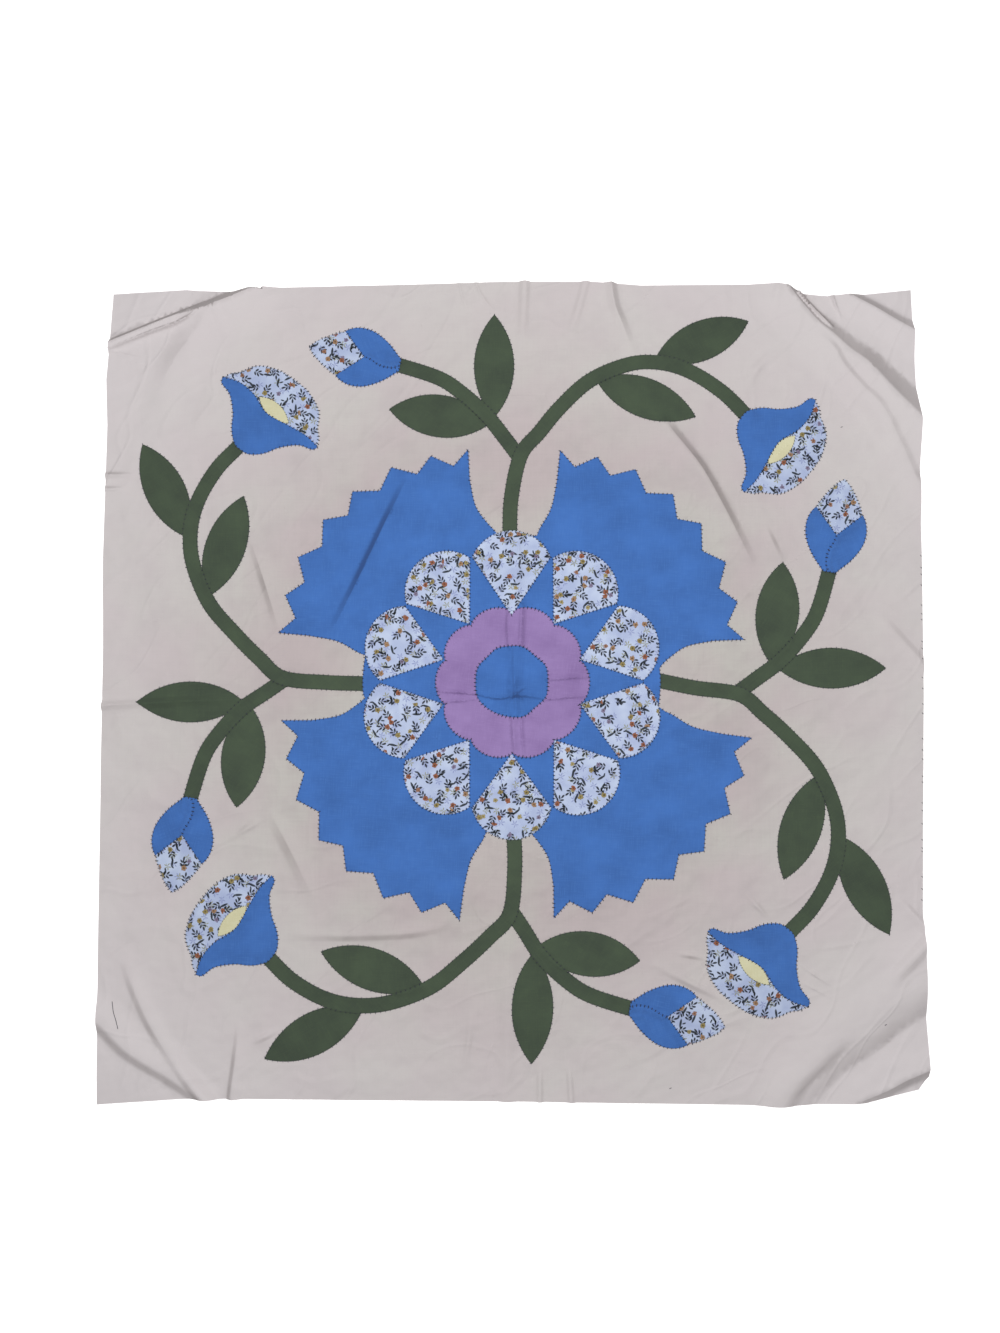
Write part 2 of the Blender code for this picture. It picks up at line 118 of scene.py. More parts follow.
def smooth_line(points: Rows, steps: int) -> np.ndarray:
    """A smooth curve through the points.

    Args:
        points: the points that it passes.
        steps: the number of stretches between two neighbours.

    Returns:
        The curve's points, one row each.
    """
    path = np.array([points[0], *points, points[-1]], float)
    path[0] = 2 * path[1] - path[2]
    path[-1] = 2 * path[-2] - path[-3]
    line = []
    for a, b, c, d in zip(path, path[1:], path[2:], path[3:]):
        for t in np.arange(steps) / steps:
            line.append((2 * b + (c - a) * t + (2 * a - 5 * b + 4 * c - d) * t**2
                         + (3 * b - a - 3 * c + d) * t**3) / 2)
    line.append(path[-2])
    return np.array(line)


def ribbon(line: np.ndarray, width: float) -> np.ndarray:
    """The outline of a strip of even width about a centre line."""
    ahead = np.gradient(line, axis=0)
    ahead /= np.linalg.norm(ahead, axis=1)[:, None]
    left = np.column_stack((-ahead[:, 1], ahead[:, 0])) * width / 2
    return np.concatenate((line + left, (line - left)[::-1]))


def anticlockwise(outline: Iterable[Point]) -> np.ndarray:
    """The outline as rows of points, turned round if it runs clockwise."""
    points = np.array(list(outline), float)
    after = np.roll(points, -1, axis=0)
    area = (points[:, 0] * after[:, 1] - points[:, 1] * after[:, 0]).sum()
    return points if area > 0 else points[::-1].copy()


def resampled(outline: np.ndarray, step: float, sharp: float = 24.0) -> np.ndarray:
    """The closed outline in even steps that keep its corners.

    Args:
        outline: rows of points.
        step: about the distance between two new points, in millimetres.
        sharp: a turn of more degrees than this is a corner.

    Returns:
        Rows of points.
    """
    ends = np.vstack((outline, outline[:1]))
    run = np.concatenate(([0.0], np.cumsum(np.linalg.norm(np.diff(ends, axis=0), axis=1))))
    marks = np.linspace(0.0, run[-1], max(8, round(run[-1] / step)), endpoint=False)
    before, after = outline - np.roll(outline, 1, axis=0), np.roll(outline, -1, axis=0) - outline
    turn = np.degrees(np.abs(np.arctan2(before[:, 0] * after[:, 1] - before[:, 1] * after[:, 0],
                                        (before * after).sum(axis=1))))
    for corner in run[:-1][turn > sharp]:
        marks[np.argmin(np.abs(marks - corner))] = corner
    return np.column_stack([np.interp(marks, run, ends[:, axis]) for axis in (0, 1)])


def inward(outline: np.ndarray) -> np.ndarray:
    """The unit direction into the cloth at each point of an anticlockwise outline."""
    way = np.roll(outline, -1, axis=0) - np.roll(outline, 1, axis=0)
    way /= np.maximum(np.linalg.norm(way, axis=1), 1e-9)[:, None]
    return np.column_stack((-way[:, 1], way[:, 0]))


def rise_between(value: np.ndarray, low: float, high: float) -> np.ndarray:
    """A smooth rise from 0 at low to 1 at high."""
    share = np.clip((value - low) / (high - low), 0.0, 1.0)
    return share * share * (3 - 2 * share)


def spaced(points: np.ndarray, least: float) -> np.ndarray:
    """The points, with only the first kept of those that share a small cell."""
    _, kept = np.unique(np.round(points / least).astype(int), axis=0, return_index=True)
    return points[np.sort(kept)]


def clear_of(points: np.ndarray, others: np.ndarray, gap: float) -> np.ndarray:
    """The points whose cell of this size holds none of the others."""
    whole, taken = np.floor(points / gap).astype(int), np.floor(others / gap).astype(int)
    return points[~np.isin(whole @ (1, 100_003), taken @ (1, 100_003))]


def loose_grid(low: np.ndarray, high: np.ndarray, spacing: float) -> np.ndarray:
    """The points of an even triangular grid between two corners."""
    xs = np.arange(low[0], high[0], spacing)
    ys = np.arange(low[1], high[1], spacing * 0.866)
    return np.array([(x + (spacing / 2) * (j % 2), y) for j, y in enumerate(ys) for x in xs])


def triangulated(points: np.ndarray, loops: Sequence[int]) -> tuple[np.ndarray, np.ndarray]:
    """Triangles that join points on the plan.

    Args:
        points: the closed edges' points, one edge after another, and then the points inside.
        loops: the number of points in each edge.

    Returns:
        The points, and each triangle's corners.
    """
    edges, start = [], 0
    for count in loops:
        ring = list(range(start, start + count))
        edges += list(zip(ring, ring[1:] + ring[:1]))
        start += count
    found, _, faces, *_ = delaunay_2d_cdt([Vector(p) for p in points], edges, [], 1, 1e-5)
    return np.array([tuple(p) for p in found]), np.array([face for face in faces if len(face) == 3])


class Region:
    """The inside of a closed outline, which can say how far in from its edge a point lies."""

    CHUNK = 600

    def __init__(self, outline: np.ndarray) -> None:
        """Keeps the outline's points, the stretches between them and the run up to each."""
        self.points = outline
        self.way = np.roll(outline, -1, axis=0) - outline
        self.length = np.maximum(np.linalg.norm(self.way, axis=1), 1e-9)
        self.run = np.concatenate(([0.0], np.cumsum(self.length)))
        self.low, self.high = outline.min(axis=0), outline.max(axis=0)

    def depth(self, xy: np.ndarray) -> tuple[np.ndarray, np.ndarray]:
        """How far inside the edge each point lies, and where along the edge it is nearest.

        Args:
            xy: rows of points, in millimetres.

        Returns:
            The depth, negative outside, and the run along the outline to the nearest place.
        """
        deep, runs = np.empty(len(xy)), np.empty(len(xy))
        for start in range(0, len(xy), self.CHUNK):
            some = xy[start:start + self.CHUNK, None, :] - self.points[None]
            share = np.clip((some * self.way).sum(axis=2) / self.length**2, 0.0, 1.0)
            off = some - self.way * share[..., None]
            apart = np.hypot(off[..., 0], off[..., 1])
            nearest = apart.argmin(axis=1)
            rows = np.arange(len(nearest))
            up = (some[..., 1] >= 0) != ((some - self.way)[..., 1] >= 0)
            turn = self.way[:, 0] * some[..., 1] - self.way[:, 1] * some[..., 0]
            left = turn * np.sign(self.way[:, 1]) < 0
            inside = (up & left).sum(axis=1) % 2 == 1
            deep[start:start + self.CHUNK] = np.where(inside, 1, -1) * apart[rows, nearest]
            runs[start:start + self.CHUNK] = self.run[nearest] + share[rows, nearest] * self.length[nearest]
        return deep, runs

    def near(self, xy: np.ndarray, margin: float) -> np.ndarray:
        """True for each point within the outline's box and a margin."""
        return ((xy > self.low - margin) & (xy < self.high + margin)).all(axis=1)


# Colours and node helpers


def linear(value: float) -> float:
    """One sRGB channel, 0 to 1, as linear light."""
    return value / 12.92 if value <= 0.04045 else ((value + 0.055) / 1.055) ** 2.4


def colour(code: str) -> tuple[float, float, float, float]:
    """An sRGB hex colour as the linear colour that a socket takes."""
    red, green, blue = (linear(int(code[i:i + 2], 16) / 255) for i in (1, 3, 5))
    return (red, green, blue, 1.0)


def add_node(tree: bpy.types.NodeTree, kind: str, inputs: dict | None = None,
             **settings: object) -> bpy.types.Node:
    """Adds a node, sets it up and joins it.

    Args:
        tree: the material's node tree.
        kind: the node's type.
        inputs: for each input, its value or the output that feeds it.
        settings: the node's own properties.

    Returns:
        The node.
    """
    node = tree.nodes.new(kind)
    for key, value in settings.items():
        setattr(node, key, value)
    for key, value in (inputs or {}).items():
        if isinstance(value, bpy.types.NodeSocket):
            tree.links.new(value, node.inputs[key])
        else:
            node.inputs[key].default_value = value
    return node


class Grain(Enum):
    """Where a cloth's pattern takes its place from."""

    OBJECT = "object"
    CUT = "cut"


class Palette:
    """One material under construction."""

    def __init__(self, name: str, grain: Grain) -> None:
        """Starts a material whose pattern runs with the object or with the cut of each patch."""
        self.material = bpy.data.materials.new(name)
        self.material.use_nodes = True
        self.tree = self.material.node_tree
        self.shader = self.tree.nodes["Principled BSDF"]
        if grain is Grain.CUT:
            self.place = self.add("ShaderNodeUVMap", uv_map="cut").outputs[0]
        else:
            self.place = self.add("ShaderNodeTexCoord").outputs["Object"]

    def add(self, kind: str, inputs: dict | None = None, **settings: object) -> bpy.types.Node:
        """Adds a node to this material."""
        return add_node(self.tree, kind, inputs, **settings)

    def math(self, operation: str, first: object, second: object = 0.0) -> bpy.types.NodeSocket:
        """The result of a Math node."""
        return self.add("ShaderNodeMath", {0: first, 1: second}, operation=operation).outputs[0]

    def mix(self, share: object, first: object, second: object) -> bpy.types.NodeSocket:
        """Two colours mixed."""
        node = self.add("ShaderNodeMix", data_type="RGBA")
        for index, value in ((0, share), (6, first), (7, second)):
            if isinstance(value, bpy.types.NodeSocket):
                self.tree.links.new(value, node.inputs[index])
            else:
                node.inputs[index].default_value = value
        return node.outputs[2]

    def stretched(self, along: float, across: float, turn: float = 0.0) -> bpy.types.NodeSocket:
        """The place scaled so that one unit is this many millimetres along and across."""
        scale = (along * MM, across * MM, across * MM)
        inputs = {"Vector": self.place, "Rotation": (0.0, 0.0, turn), "Scale": scale}
        return self.add("ShaderNodeMapping", inputs, vector_type="TEXTURE").outputs[0]

    def noise(self, along: float, across: float, turn: float = 0.0,
              detail: float = 2.0) -> bpy.types.NodeSocket:
        """Noise from 0 to 1 whose patches are this many millimetres along and across."""
        return self.add("ShaderNodeTexNoise", {"Vector": self.stretched(along, across, turn), "Scale": 1.0,
                                               "Detail": detail, "Roughness": 0.55}).outputs[0]

    def spread(self, value: object, low: float, high: float, to_low: float = 0.0,
               to_high: float = 1.0) -> bpy.types.NodeSocket:
        """A value carried from one range into another, and kept inside it."""
        return self.add("ShaderNodeMapRange", {"Value": value, "From Min": low, "From Max": high,
                                               "To Min": to_low, "To Max": to_high}).outputs[0]

    def bumped(self, height: bpy.types.NodeSocket, depth: float, under: bpy.types.NodeSocket | None = None,
               strength: float = 1.0) -> bpy.types.NodeSocket:
        """The normal of a surface bumped by this height, whose 0 to 1 stands for a depth in millimetres."""
        inputs = {"Height": height, "Strength": strength, "Distance": depth * MM}
        if under is not None:
            inputs["Normal"] = under
        return self.add("ShaderNodeBump", inputs).outputs[0]

    def weave(self, pitch: float, depth: float, under: bpy.types.NodeSocket | None = None) -> None:
        """Bumps the surface with crossing threads, some of them thicker."""
        threads = []
        for turn in (0.0, math.pi / 2):
            place = self.stretched(pitch, pitch, turn)
            threads.append(self.add("ShaderNodeTexWave", {"Vector": place, "Scale": 0.5, "Distortion": 1.4,
                                                          "Detail": 1.0}, wave_type="BANDS").outputs[1])
            threads.append(self.noise(19.0, 1.2, turn))
        height = self.math("ADD", self.math("MULTIPLY", self.math("ADD", threads[0], threads[2]), 0.25),
                           self.math("MULTIPLY", self.math("ADD", threads[1], threads[3]), 0.55))
        self.tree.links.new(self.bumped(height, depth, under, 0.55), self.shader.inputs["Normal"])

    def crumples(self, depth: float) -> bpy.types.NodeSocket:
        """The normal of a cloth that was folded away for years: soft dents and fine bent wrinkles."""
        dents = self.bumped(self.noise(44.0, 36.0, 0.5, 2.0), depth * 4)
        bend = self.math("ABSOLUTE", self.math("SUBTRACT", self.noise(150.0, 64.0, 0.9, 0.6), 0.5))
        wrinkles = self.bumped(self.spread(bend, 0.0, 0.03, 1.0, 0.0), depth * 0.4, dents)
        cross = self.math("ABSOLUTE", self.math("SUBTRACT", self.noise(70.0, 130.0, 2.2, 0.6), 0.47))
        return self.bumped(self.spread(cross, 0.0, 0.02, 1.0, 0.0), depth * 0.3, wrinkles)

    def fold_shade_and_soil_share(self, most: float) -> bpy.types.NodeSocket:
        """How much painted shade, with some soil, the cloth takes along its folds, up to this share."""
        greying = self.add("ShaderNodeAttribute", attribute_name="greying").outputs["Fac"]
        return self.spread(greying, 0.13, 1.0, 0.0, most)

    def finished(self, tint: object, roughness: object, sheen: float) -> bpy.types.Material:
        """Joins the colour and roughness to the shader and hands over the material."""
        for name, value in (("Base Color", tint), ("Roughness", roughness)):
            if isinstance(value, bpy.types.NodeSocket):
                self.tree.links.new(value, self.shader.inputs[name])
            else:
                self.shader.inputs[name].default_value = value
        self.shader.inputs["Metallic"].default_value = 0.0
        self.shader.inputs["Specular IOR Level"].default_value = 0.25
        self.shader.inputs["Sheen Weight"].default_value = sheen
        self.shader.inputs["Sheen Roughness"].default_value = 0.6
        return self.material


@dataclass(frozen=True)
class Cotton:
    """Plain woven cotton: dyed threads that vary a little, with slubs both ways and a soft dry surface."""

    name: str
    slot: str
    main: str
    deep: str
    pale: str
    # painted shade on the folds, with some soil
    shade_and_soil_colour: str
    thread_pitch: float = 0.55
    relief: float = 0.16
    roughness: float = 0.88
    sheen: float = 0.12

    def material(self) -> bpy.types.Material:
        """Broad patches that took the dye unevenly, fine crossing slubs, a rim darkened with painted shade
        and some rubbing, and painted shade on the folds.
        """
        p = Palette(self.name, Grain.CUT)
        broad = p.spread(p.noise(46.0, 38.0, 0.4, 3.0), 0.32, 0.68)
        tint = p.mix(broad, colour(self.main), colour(self.deep))
        slubs = p.math("ADD", p.noise(17.0, 1.1), p.noise(17.0, 1.1, math.pi / 2))
        tint = p.mix(p.spread(slubs, 0.95, 1.4, 0.0, 0.4), tint, colour(self.pale))
        # The rim is darkened: painted shade where the turned edge rounds down, with some rubbing.
        rim = p.add("ShaderNodeAttribute", attribute_name="rim").outputs["Fac"]
        tint = p.mix(p.spread(rim, 0.0, 1.3, 0.45, 0.0), tint, colour(self.deep))
        # Painted shade on the folds' sides, with some soil.
        tint = p.mix(p.fold_shade_and_soil_share(0.7), tint, colour(self.shade_and_soil_colour))
        rough = p.spread(slubs, 0.8, 1.3, self.roughness - 0.06, self.roughness + 0.06)
        p.weave(self.thread_pitch, self.relief, p.crumples(0.55))
        return p.finished(tint, rough, self.sheen)


@dataclass(frozen=True)
class MuslinFinish:
    """Washed unbleached muslin: creamy and pinkish drifts, faint slubs, corners painted paler against the
    lamp's falloff, and painted shade with some soil on the folds.
    """

    name: str = "washed_muslin"
    slot: str = "muslin"
    pink: str = "#C6BBBC"
    cream: str = "#C8C5C0"
    grey: str = "#B7AEAF"
    # painted light: paler far from the middle, to even out the lamp's falloff
    painted_falloff_light: str = "#E6E0E2"
    # painted shade on the folds, with some soil
    shade_and_soil_tint: str = "#857B79"
    roughness: float = 0.93

    def material(self) -> bpy.types.Material:
        """Slow drifts of colour under crossing threads, painted paler far from the middle against the lamp's
        falloff, and painted shade with some soil on its folds.
        """
        p = Palette(self.name, Grain.OBJECT)
        drift = p.spread(p.noise(150.0, 120.0, 0.7, 3.0), 0.40, 0.60)
        tint = p.mix(drift, colour(self.pink), colour(self.cream))
        cloudy = p.spread(p.noise(42.0, 33.0, 0.2, 3.0), 0.48, 0.74, 0.0, 0.5)
        tint = p.mix(cloudy, tint, colour(self.grey))
        slubs = p.math("ADD", p.noise(34.0, 1.6), p.noise(27.0, 1.9, math.pi / 2))
        tint = p.mix(p.spread(slubs, 0.9, 1.3, 0.0, 0.22), tint, colour(self.grey))
        # Painted light: paler far from the middle, to even out the lamp's falloff.
        middle = p.add("ShaderNodeVectorMath", {0: p.place}, operation="LENGTH").outputs["Value"]
        tint = p.mix(p.spread(middle, 0.24, 0.56, 0.0, 1.0), tint, colour(self.painted_falloff_light))
        # Painted shade on the folds, with some soil.
        tint = p.mix(p.fold_shade_and_soil_share(0.62), tint, colour(self.shade_and_soil_tint))
        p.weave(0.8, 0.16, p.crumples(1.0))
        return p.finished(tint, self.roughness, 0.08)


@dataclass(frozen=True)
class Leaflet:
    """One printed leaf: its middle, half length and half width in millimetres, and its turn in degrees."""

    x: float
    y: float
    half_length: float
    half_width: float
    turn: float


@dataclass(frozen=True)
class Sprig:
    """A scattered layer of printed leaf sprigs, one in most cells of a loose grid."""

    cell: float
    shift: Point
    tint: str
    leaflets: tuple[Leaflet, ...]
    share: float = 0.9


@dataclass(frozen=True)
class Blossom:
    """A scattered layer of printed five-petalled flowers."""

    cell: float
    shift: Point
    radius: float
    tints: tuple[str, ...]
    heart: str
    share: float = 0.8
    middle: Point = (0.0, 0.0)


DARK_SPRIG = (
    Leaflet(2.0, -1.5, 2.0, 0.95, 36), Leaflet(-2.1, -0.7, 2.1, 1.0, 142), Leaflet(2.2, 1.7, 2.2, 1.0, 48),
    Leaflet(-1.9, 2.6, 2.1, 0.95, 128), Leaflet(0.5, 5.2, 2.4, 1.05, 84), Leaflet(0.1, 0.6, 3.6, 0.26, 88),
)
LONG_SPRIG = (
    Leaflet(0.6, 0.9, 4.6, 1.2, 32), Leaflet(-2.5, -2.1, 2.0, 0.8, 75), Leaflet(2.9, -1.9, 2.1, 0.8, -30),
)
LILAC_SPRIG = (
    Leaflet(0.0, 2.6, 1.9, 0.62, 80), Leaflet(2.0, 1.1, 1.7, 0.58, 30), Leaflet(-2.0, 1.2, 1.7, 0.58, 150),
    Leaflet(1.5, -1.8, 1.6, 0.55, -40), Leaflet(-1.7, -1.7, 1.6, 0.55, 215),
    Leaflet(0.1, -0.6, 3.2, 0.25, 95),
)


@dataclass(frozen=True)
class Calico:
    """Printed cotton: small scattered flowers and leaf sprigs on a bluish white cloth."""

    name: str = "sprigged_calico"
    slot: str = "print_cotton"
    cloth: str = "#C9D7F2"
    shade: str = "#B3C1E4"
    # painted shade on the folds, with some soil
    shade_and_soil_colour: str = "#7A7C8E"
    sprigs: tuple[Sprig, ...] = (
        Sprig(12.0, (3.1, 1.7), "#95A0CC", LILAC_SPRIG, 0.65),
        Sprig(15.0, (5.3, 8.8), "#9A9D84", LILAC_SPRIG, 0.5),
        Sprig(17.0, (1.9, 4.4), "#10191A", LONG_SPRIG, 0.8),
        Sprig(14.5, (9.7, 2.6), "#080C0E", DARK_SPRIG, 1.0),
    )
    blossoms: tuple[Blossom, ...] = (
        Blossom(14.5, (9.7, 2.6), 2.9, ("#A0664F", "#AE8B6C", "#A0925F"), "#43301F", 0.62, (0.6, -4.4)),
        Blossom(19.0, (2.2, 7.1), 2.4, ("#B5A877", "#A97C68", "#8F86A8"), "#4A3E28", 0.4),
    )

    def scattered(self, p: Palette, cell: float, shift: Point) -> tuple[bpy.types.NodeSocket, bpy.types.Node]:
        """The place within a scattered motif, turned its own way.

        Args:
            p: the material.
            cell: the distance between motifs, in millimetres.
            shift: where this layer's cells start.

        Returns:
            The place in millimetres from the motif's middle, and the node with its three random numbers.
        """
        moved = p.add("ShaderNodeVectorMath", {0: p.place, 1: (shift[0] * MM, shift[1] * MM, 0.0)}).outputs[0]
        cells = p.add("ShaderNodeTexVoronoi", {"Vector": moved, "Scale": 1 / (cell * MM), "Randomness": 0.72},
                      voronoi_dimensions="2D", feature="F1")
        chance = p.add("ShaderNodeSeparateColor", {0: cells.outputs["Color"]})
        local = p.add("ShaderNodeVectorMath", {0: moved, 1: cells.outputs["Position"]}, operation="SUBTRACT")
        angle = p.math("MULTIPLY", chance.outputs[0], 2 * math.pi)
        spun = p.add("ShaderNodeVectorRotate", {"Vector": local.outputs[0], "Angle": angle},
                     rotation_type="Z_AXIS")
        scaled = p.add("ShaderNodeVectorMath", {0: spun.outputs[0], "Scale": 1 / MM}, operation="SCALE")
        return scaled.outputs[0], chance

    def sprig_mask(self, p: Palette, sprig: Sprig) -> bpy.types.NodeSocket:
        """Where this layer's leaves are printed."""
        place, chance = self.scattered(p, sprig.cell, sprig.shift)
        mask = None
        for leaf in sprig.leaflets:
            inside = p.add("ShaderNodeMapping", {
                "Vector": place, "Location": (leaf.x, leaf.y, 0.0),
                "Rotation": (0.0, 0.0, math.radians(leaf.turn)),
                "Scale": (leaf.half_length, leaf.half_width, 1.0)}, vector_type="TEXTURE").outputs[0]
            out = p.add("ShaderNodeVectorMath", {0: inside}, operation="LENGTH").outputs["Value"]
            one = p.spread(out, 0.8, 1.15, 1.0, 0.0)
            mask = one if mask is None else p.math("MAXIMUM", mask, one)
        return p.math("MULTIPLY", mask, p.math("LESS_THAN", chance.outputs[1], sprig.share))

    def print_blossom(self, p: Palette, tint: bpy.types.NodeSocket, blossom: Blossom) -> bpy.types.NodeSocket:
        """The cloth's colour with this layer's flowers printed on it."""
        place, chance = self.scattered(p, blossom.cell, blossom.shift)
        middle = (*blossom.middle, 0.0)
        place = p.add("ShaderNodeVectorMath", {0: place, 1: middle}, operation="SUBTRACT").outputs[0]
        axes = p.add("ShaderNodeSeparateXYZ", {0: place})
        ragged = p.spread(p.noise(2.3, 2.3), 0.3, 0.7, -0.7, 0.7)
        away = p.add("ShaderNodeVectorMath", {0: place}, operation="LENGTH").outputs["Value"]
        out = p.math("ADD", away, ragged)
        angle = p.math("ARCTAN2", axes.outputs[1], axes.outputs[0])
        lobes = p.math("ABSOLUTE", p.math("COSINE", p.math("MULTIPLY", angle, 2.5)))
        edge = p.math("MULTIPLY", p.spread(lobes, 0.0, 1.0, 0.8, 1.0), blossom.radius)
        inside = p.math("MULTIPLY", p.spread(p.math("SUBTRACT", edge, out), -0.2, 0.2),
                        p.math("LESS_THAN", chance.outputs[1], blossom.share))
        first = p.mix(p.math("GREATER_THAN", chance.outputs[2], 0.4), colour(blossom.tints[0]),
                      colour(blossom.tints[1]))
        petals = p.mix(p.math("GREATER_THAN", chance.outputs[2], 0.7), first, colour(blossom.tints[2]))
        petals = p.mix(p.spread(out, blossom.radius * 0.1, blossom.radius * 0.6, 0.75, 0.0), petals,
                       colour(blossom.heart))
        outlined = p.spread(p.math("SUBTRACT", edge, out), 0.0, 0.8, 0.6, 0.0)
        petals = p.mix(outlined, petals, colour(blossom.heart))
        return p.mix(inside, tint, petals)

    def material(self) -> bpy.types.Material:
        """The print, layer by layer, a painted highlight along its rim, painted shade with a little soil on
        the folds, and the cloth's own weave under it.
        """
        p = Palette(self.name, Grain.CUT)
        drift = p.spread(p.noise(26.0, 20.0, 0.3), 0.35, 0.65)
        tint = p.mix(drift, colour(self.cloth), colour(self.shade))
        for sprig in self.sprigs:
            tint = p.mix(p.math("MULTIPLY", self.sprig_mask(p, sprig), 0.93), tint, colour(sprig.tint))
        for blossom in reversed(self.blossoms):
            tint = self.print_blossom(p, tint, blossom)
        # Painted highlight: the print fades into the plain cloth towards the rim, where the puckers catch the
        # light.
        rim = p.add("ShaderNodeAttribute", attribute_name="rim").outputs["Fac"]
        tint = p.mix(p.spread(rim, 0.2, 1.4, 0.55, 0.0), tint, colour(self.cloth))
        # Painted shade on the folds, with some soil.
        tint = p.mix(p.fold_shade_and_soil_share(0.5), tint, colour(self.shade_and_soil_colour))
        p.weave(0.45, 0.12)
        return p.finished(tint, 0.86, 0.1)


@dataclass(frozen=True)
class ThreadFinish:
    """Matt sewing cotton, nearly black, with a little wax sheen on the crown of each stitch."""

    name: str = "dark_thread"
    slot: str = "blue_cotton"
    main: str = "#20222C"
    pale: str = "#3A3F52"

    def material(self) -> bpy.types.Material:
        """Twisted plies read as a fine change of tone along the thread."""
        p = Palette(self.name, Grain.OBJECT)
        tint = p.mix(p.noise(2.2, 2.2), colour(self.main), colour(self.pale))
        bump = p.add("ShaderNodeBump", {"Height": p.noise(0.4, 0.4), "Strength": 0.3, "Distance": 0.1 * MM})
        p.tree.links.new(bump.outputs[0], p.shader.inputs["Normal"])
        return p.finished(tint, 0.7, 0.1)


MUSLIN = MuslinFinish()
BLUE = Cotton("blue_cotton_cloth", "blue_cotton", "#4679C8", "#3E6CB4", "#5A8BD4", "#27467E")
GREEN = Cotton("green_cotton_cloth", "green_cotton", "#4C5B48", "#424E41", "#58674F", "#2C362D")
LAVENDER = Cotton("lavender_cotton_cloth", "lavender_cotton", "#A086BF", "#8F75AD", "#AE95CC", "#63497F")
YELLOW = Cotton("yellow_cotton_cloth", "yellow_cotton", "#E6E4C0", "#D9D5AE", "#EEECD2", "#A5A17C")
PRINT = Calico()
THREAD = ThreadFinish()
Finish = Cotton | MuslinFinish | Calico | ThreadFinish


class Finishes:
    """Makes each material once."""

    def __init__(self) -> None:
        """Starts with none made."""
        self.made: dict[str, bpy.types.Material] = {}

    def of(self, finish: Finish) -> bpy.types.Material:
        """The material of a finish."""
        if finish.name not in self.made:
            self.made[finish.name] = finish.material()
        return self.made[finish.name]


# The laid cloth


class Shape(Enum):
    """How the cloth rises from a fold's feet to its line."""

    ROUND = "a soft ridge"
    CREST = "a ridge pressed to an edge"
    LEDGE = "a soft ridge that drops to a sharp foot on its left"
    GROOVE = "a pressed crease, soft on its left and short and steep on its right"

    def rise(self, share: np.ndarray, left: np.ndarray) -> np.ndarray:
        """The height at each share of the way from the line to the foot.

        Args:
            share: 0 on the line and 1 at the foot.
            left: True where a point lies to the left of the line.

        Returns:
            Heights from 0 to 1.
        """
        if self is Shape.CREST:
            return (1 - share) ** 1.15
        if self is Shape.GROOVE:
            return np.where(left, (1 - share) ** 2, np.maximum(1 - share * 1.8, 0.0))
        soft = (1 + np.cos(np.pi * share)) / 2
        return np.where(left, 1 - share**1.9, soft) if self is Shape.LEDGE else soft


@dataclass(frozen=True)
class Fold:
    """One fold of the cloth.

    It has the bent line that it follows, its height at each of the line's points, how far its feet lie to the
    left and to the right of the way, at the line's start and end, and its shape.
    """

    path: Rows
    heights: tuple[float, ...]
    left: Point
    right: Point
    shape: Shape = Shape.ROUND
    STEPS = 5
    ROWS = (0.0, 0.14, -0.14, 0.34, -0.34, 0.64, -0.64, 1.0, -1.0)  # shares of the way to the feet

    @cached_property
    def line(self) -> np.ndarray:
        """The line in short steps.

        The table is as the camera sees it, so a raised point lies nearer the middle than its row says.
        """
        nearer = 1 - np.array(self.heights) / EYE_HEIGHT
        return smooth_line((np.array(self.path) * nearer[:, None]).tolist(), self.STEPS)

    @cached_property
    def run(self) -> np.ndarray:
        """The way along the line up to each of its points."""
        return np.concatenate(([0.0], np.cumsum(np.linalg.norm(np.diff(self.line, axis=0), axis=1))))

    def place(self, xy: np.ndarray) -> tuple[np.ndarray, np.ndarray]:
        """Where each point lies: the share of the way along the line, and the distance to its left."""
        way = np.diff(self.line, axis=0)
        length = np.linalg.norm(way, axis=1)
        some = xy[:, None, :] - self.line[None, :-1]
        share = np.clip((some * way).sum(axis=2) / length**2, 0.0, 1.0)
        off = some - way * share[..., None]
        apart = np.hypot(off[..., 0], off[..., 1])
        nearest, rows = apart.argmin(axis=1), np.arange(len(xy))
        turn = way[nearest, 0] * some[rows, nearest, 1] - way[nearest, 1] * some[rows, nearest, 0]
        along = (self.run[nearest] + share[rows, nearest] * length[nearest]) / self.run[-1]
        return along, np.sign(turn) * apart[rows, nearest]

    def height(self, xy: np.ndarray) -> np.ndarray:
        """How high the fold lifts the cloth over each point."""
        z = np.zeros(len(xy))
        reach = max(*self.left, *self.right)
        near = ((xy > self.line.min(axis=0) - reach) & (xy < self.line.max(axis=0) + reach)).all(axis=1)
        if near.any():
            along, across = self.place(xy[near])
            left, right = (np.interp(along, (0, 1), feet) for feet in (self.left, self.right))
            foot = np.where(across > 0, left, right)
            crest = np.interp(along, self.run[::self.STEPS] / self.run[-1], self.heights)
            z[near] = crest * self.shape.rise(np.minimum(np.abs(across) / foot, 1.0), across > 0)
        return z

    def points(self, step: float) -> np.ndarray:
        """Rows of points along the line, its sides and its feet, for the cloth's mesh to bend at."""
        along = np.linspace(0.0, 1.0, max(3, round(self.run[-1] / step)))
        marks = along * self.run[-1]
        middle = np.column_stack([np.interp(marks, self.run, self.line[:, axis]) for axis in (0, 1)])
        way = np.gradient(middle, axis=0)
        way /= np.linalg.norm(way, axis=1)[:, None]
        side = np.column_stack((-way[:, 1], way[:, 0]))
        rows = []
        for share in self.ROWS:
            foot = np.interp(along, (0, 1), self.left if share > 0 else self.right)
            rows.append(middle + side * (share * foot)[:, None])
        return np.concatenate(rows)


# Each row has a path, its heights, its left feet, its right feet and, where it isn't round, its shape.

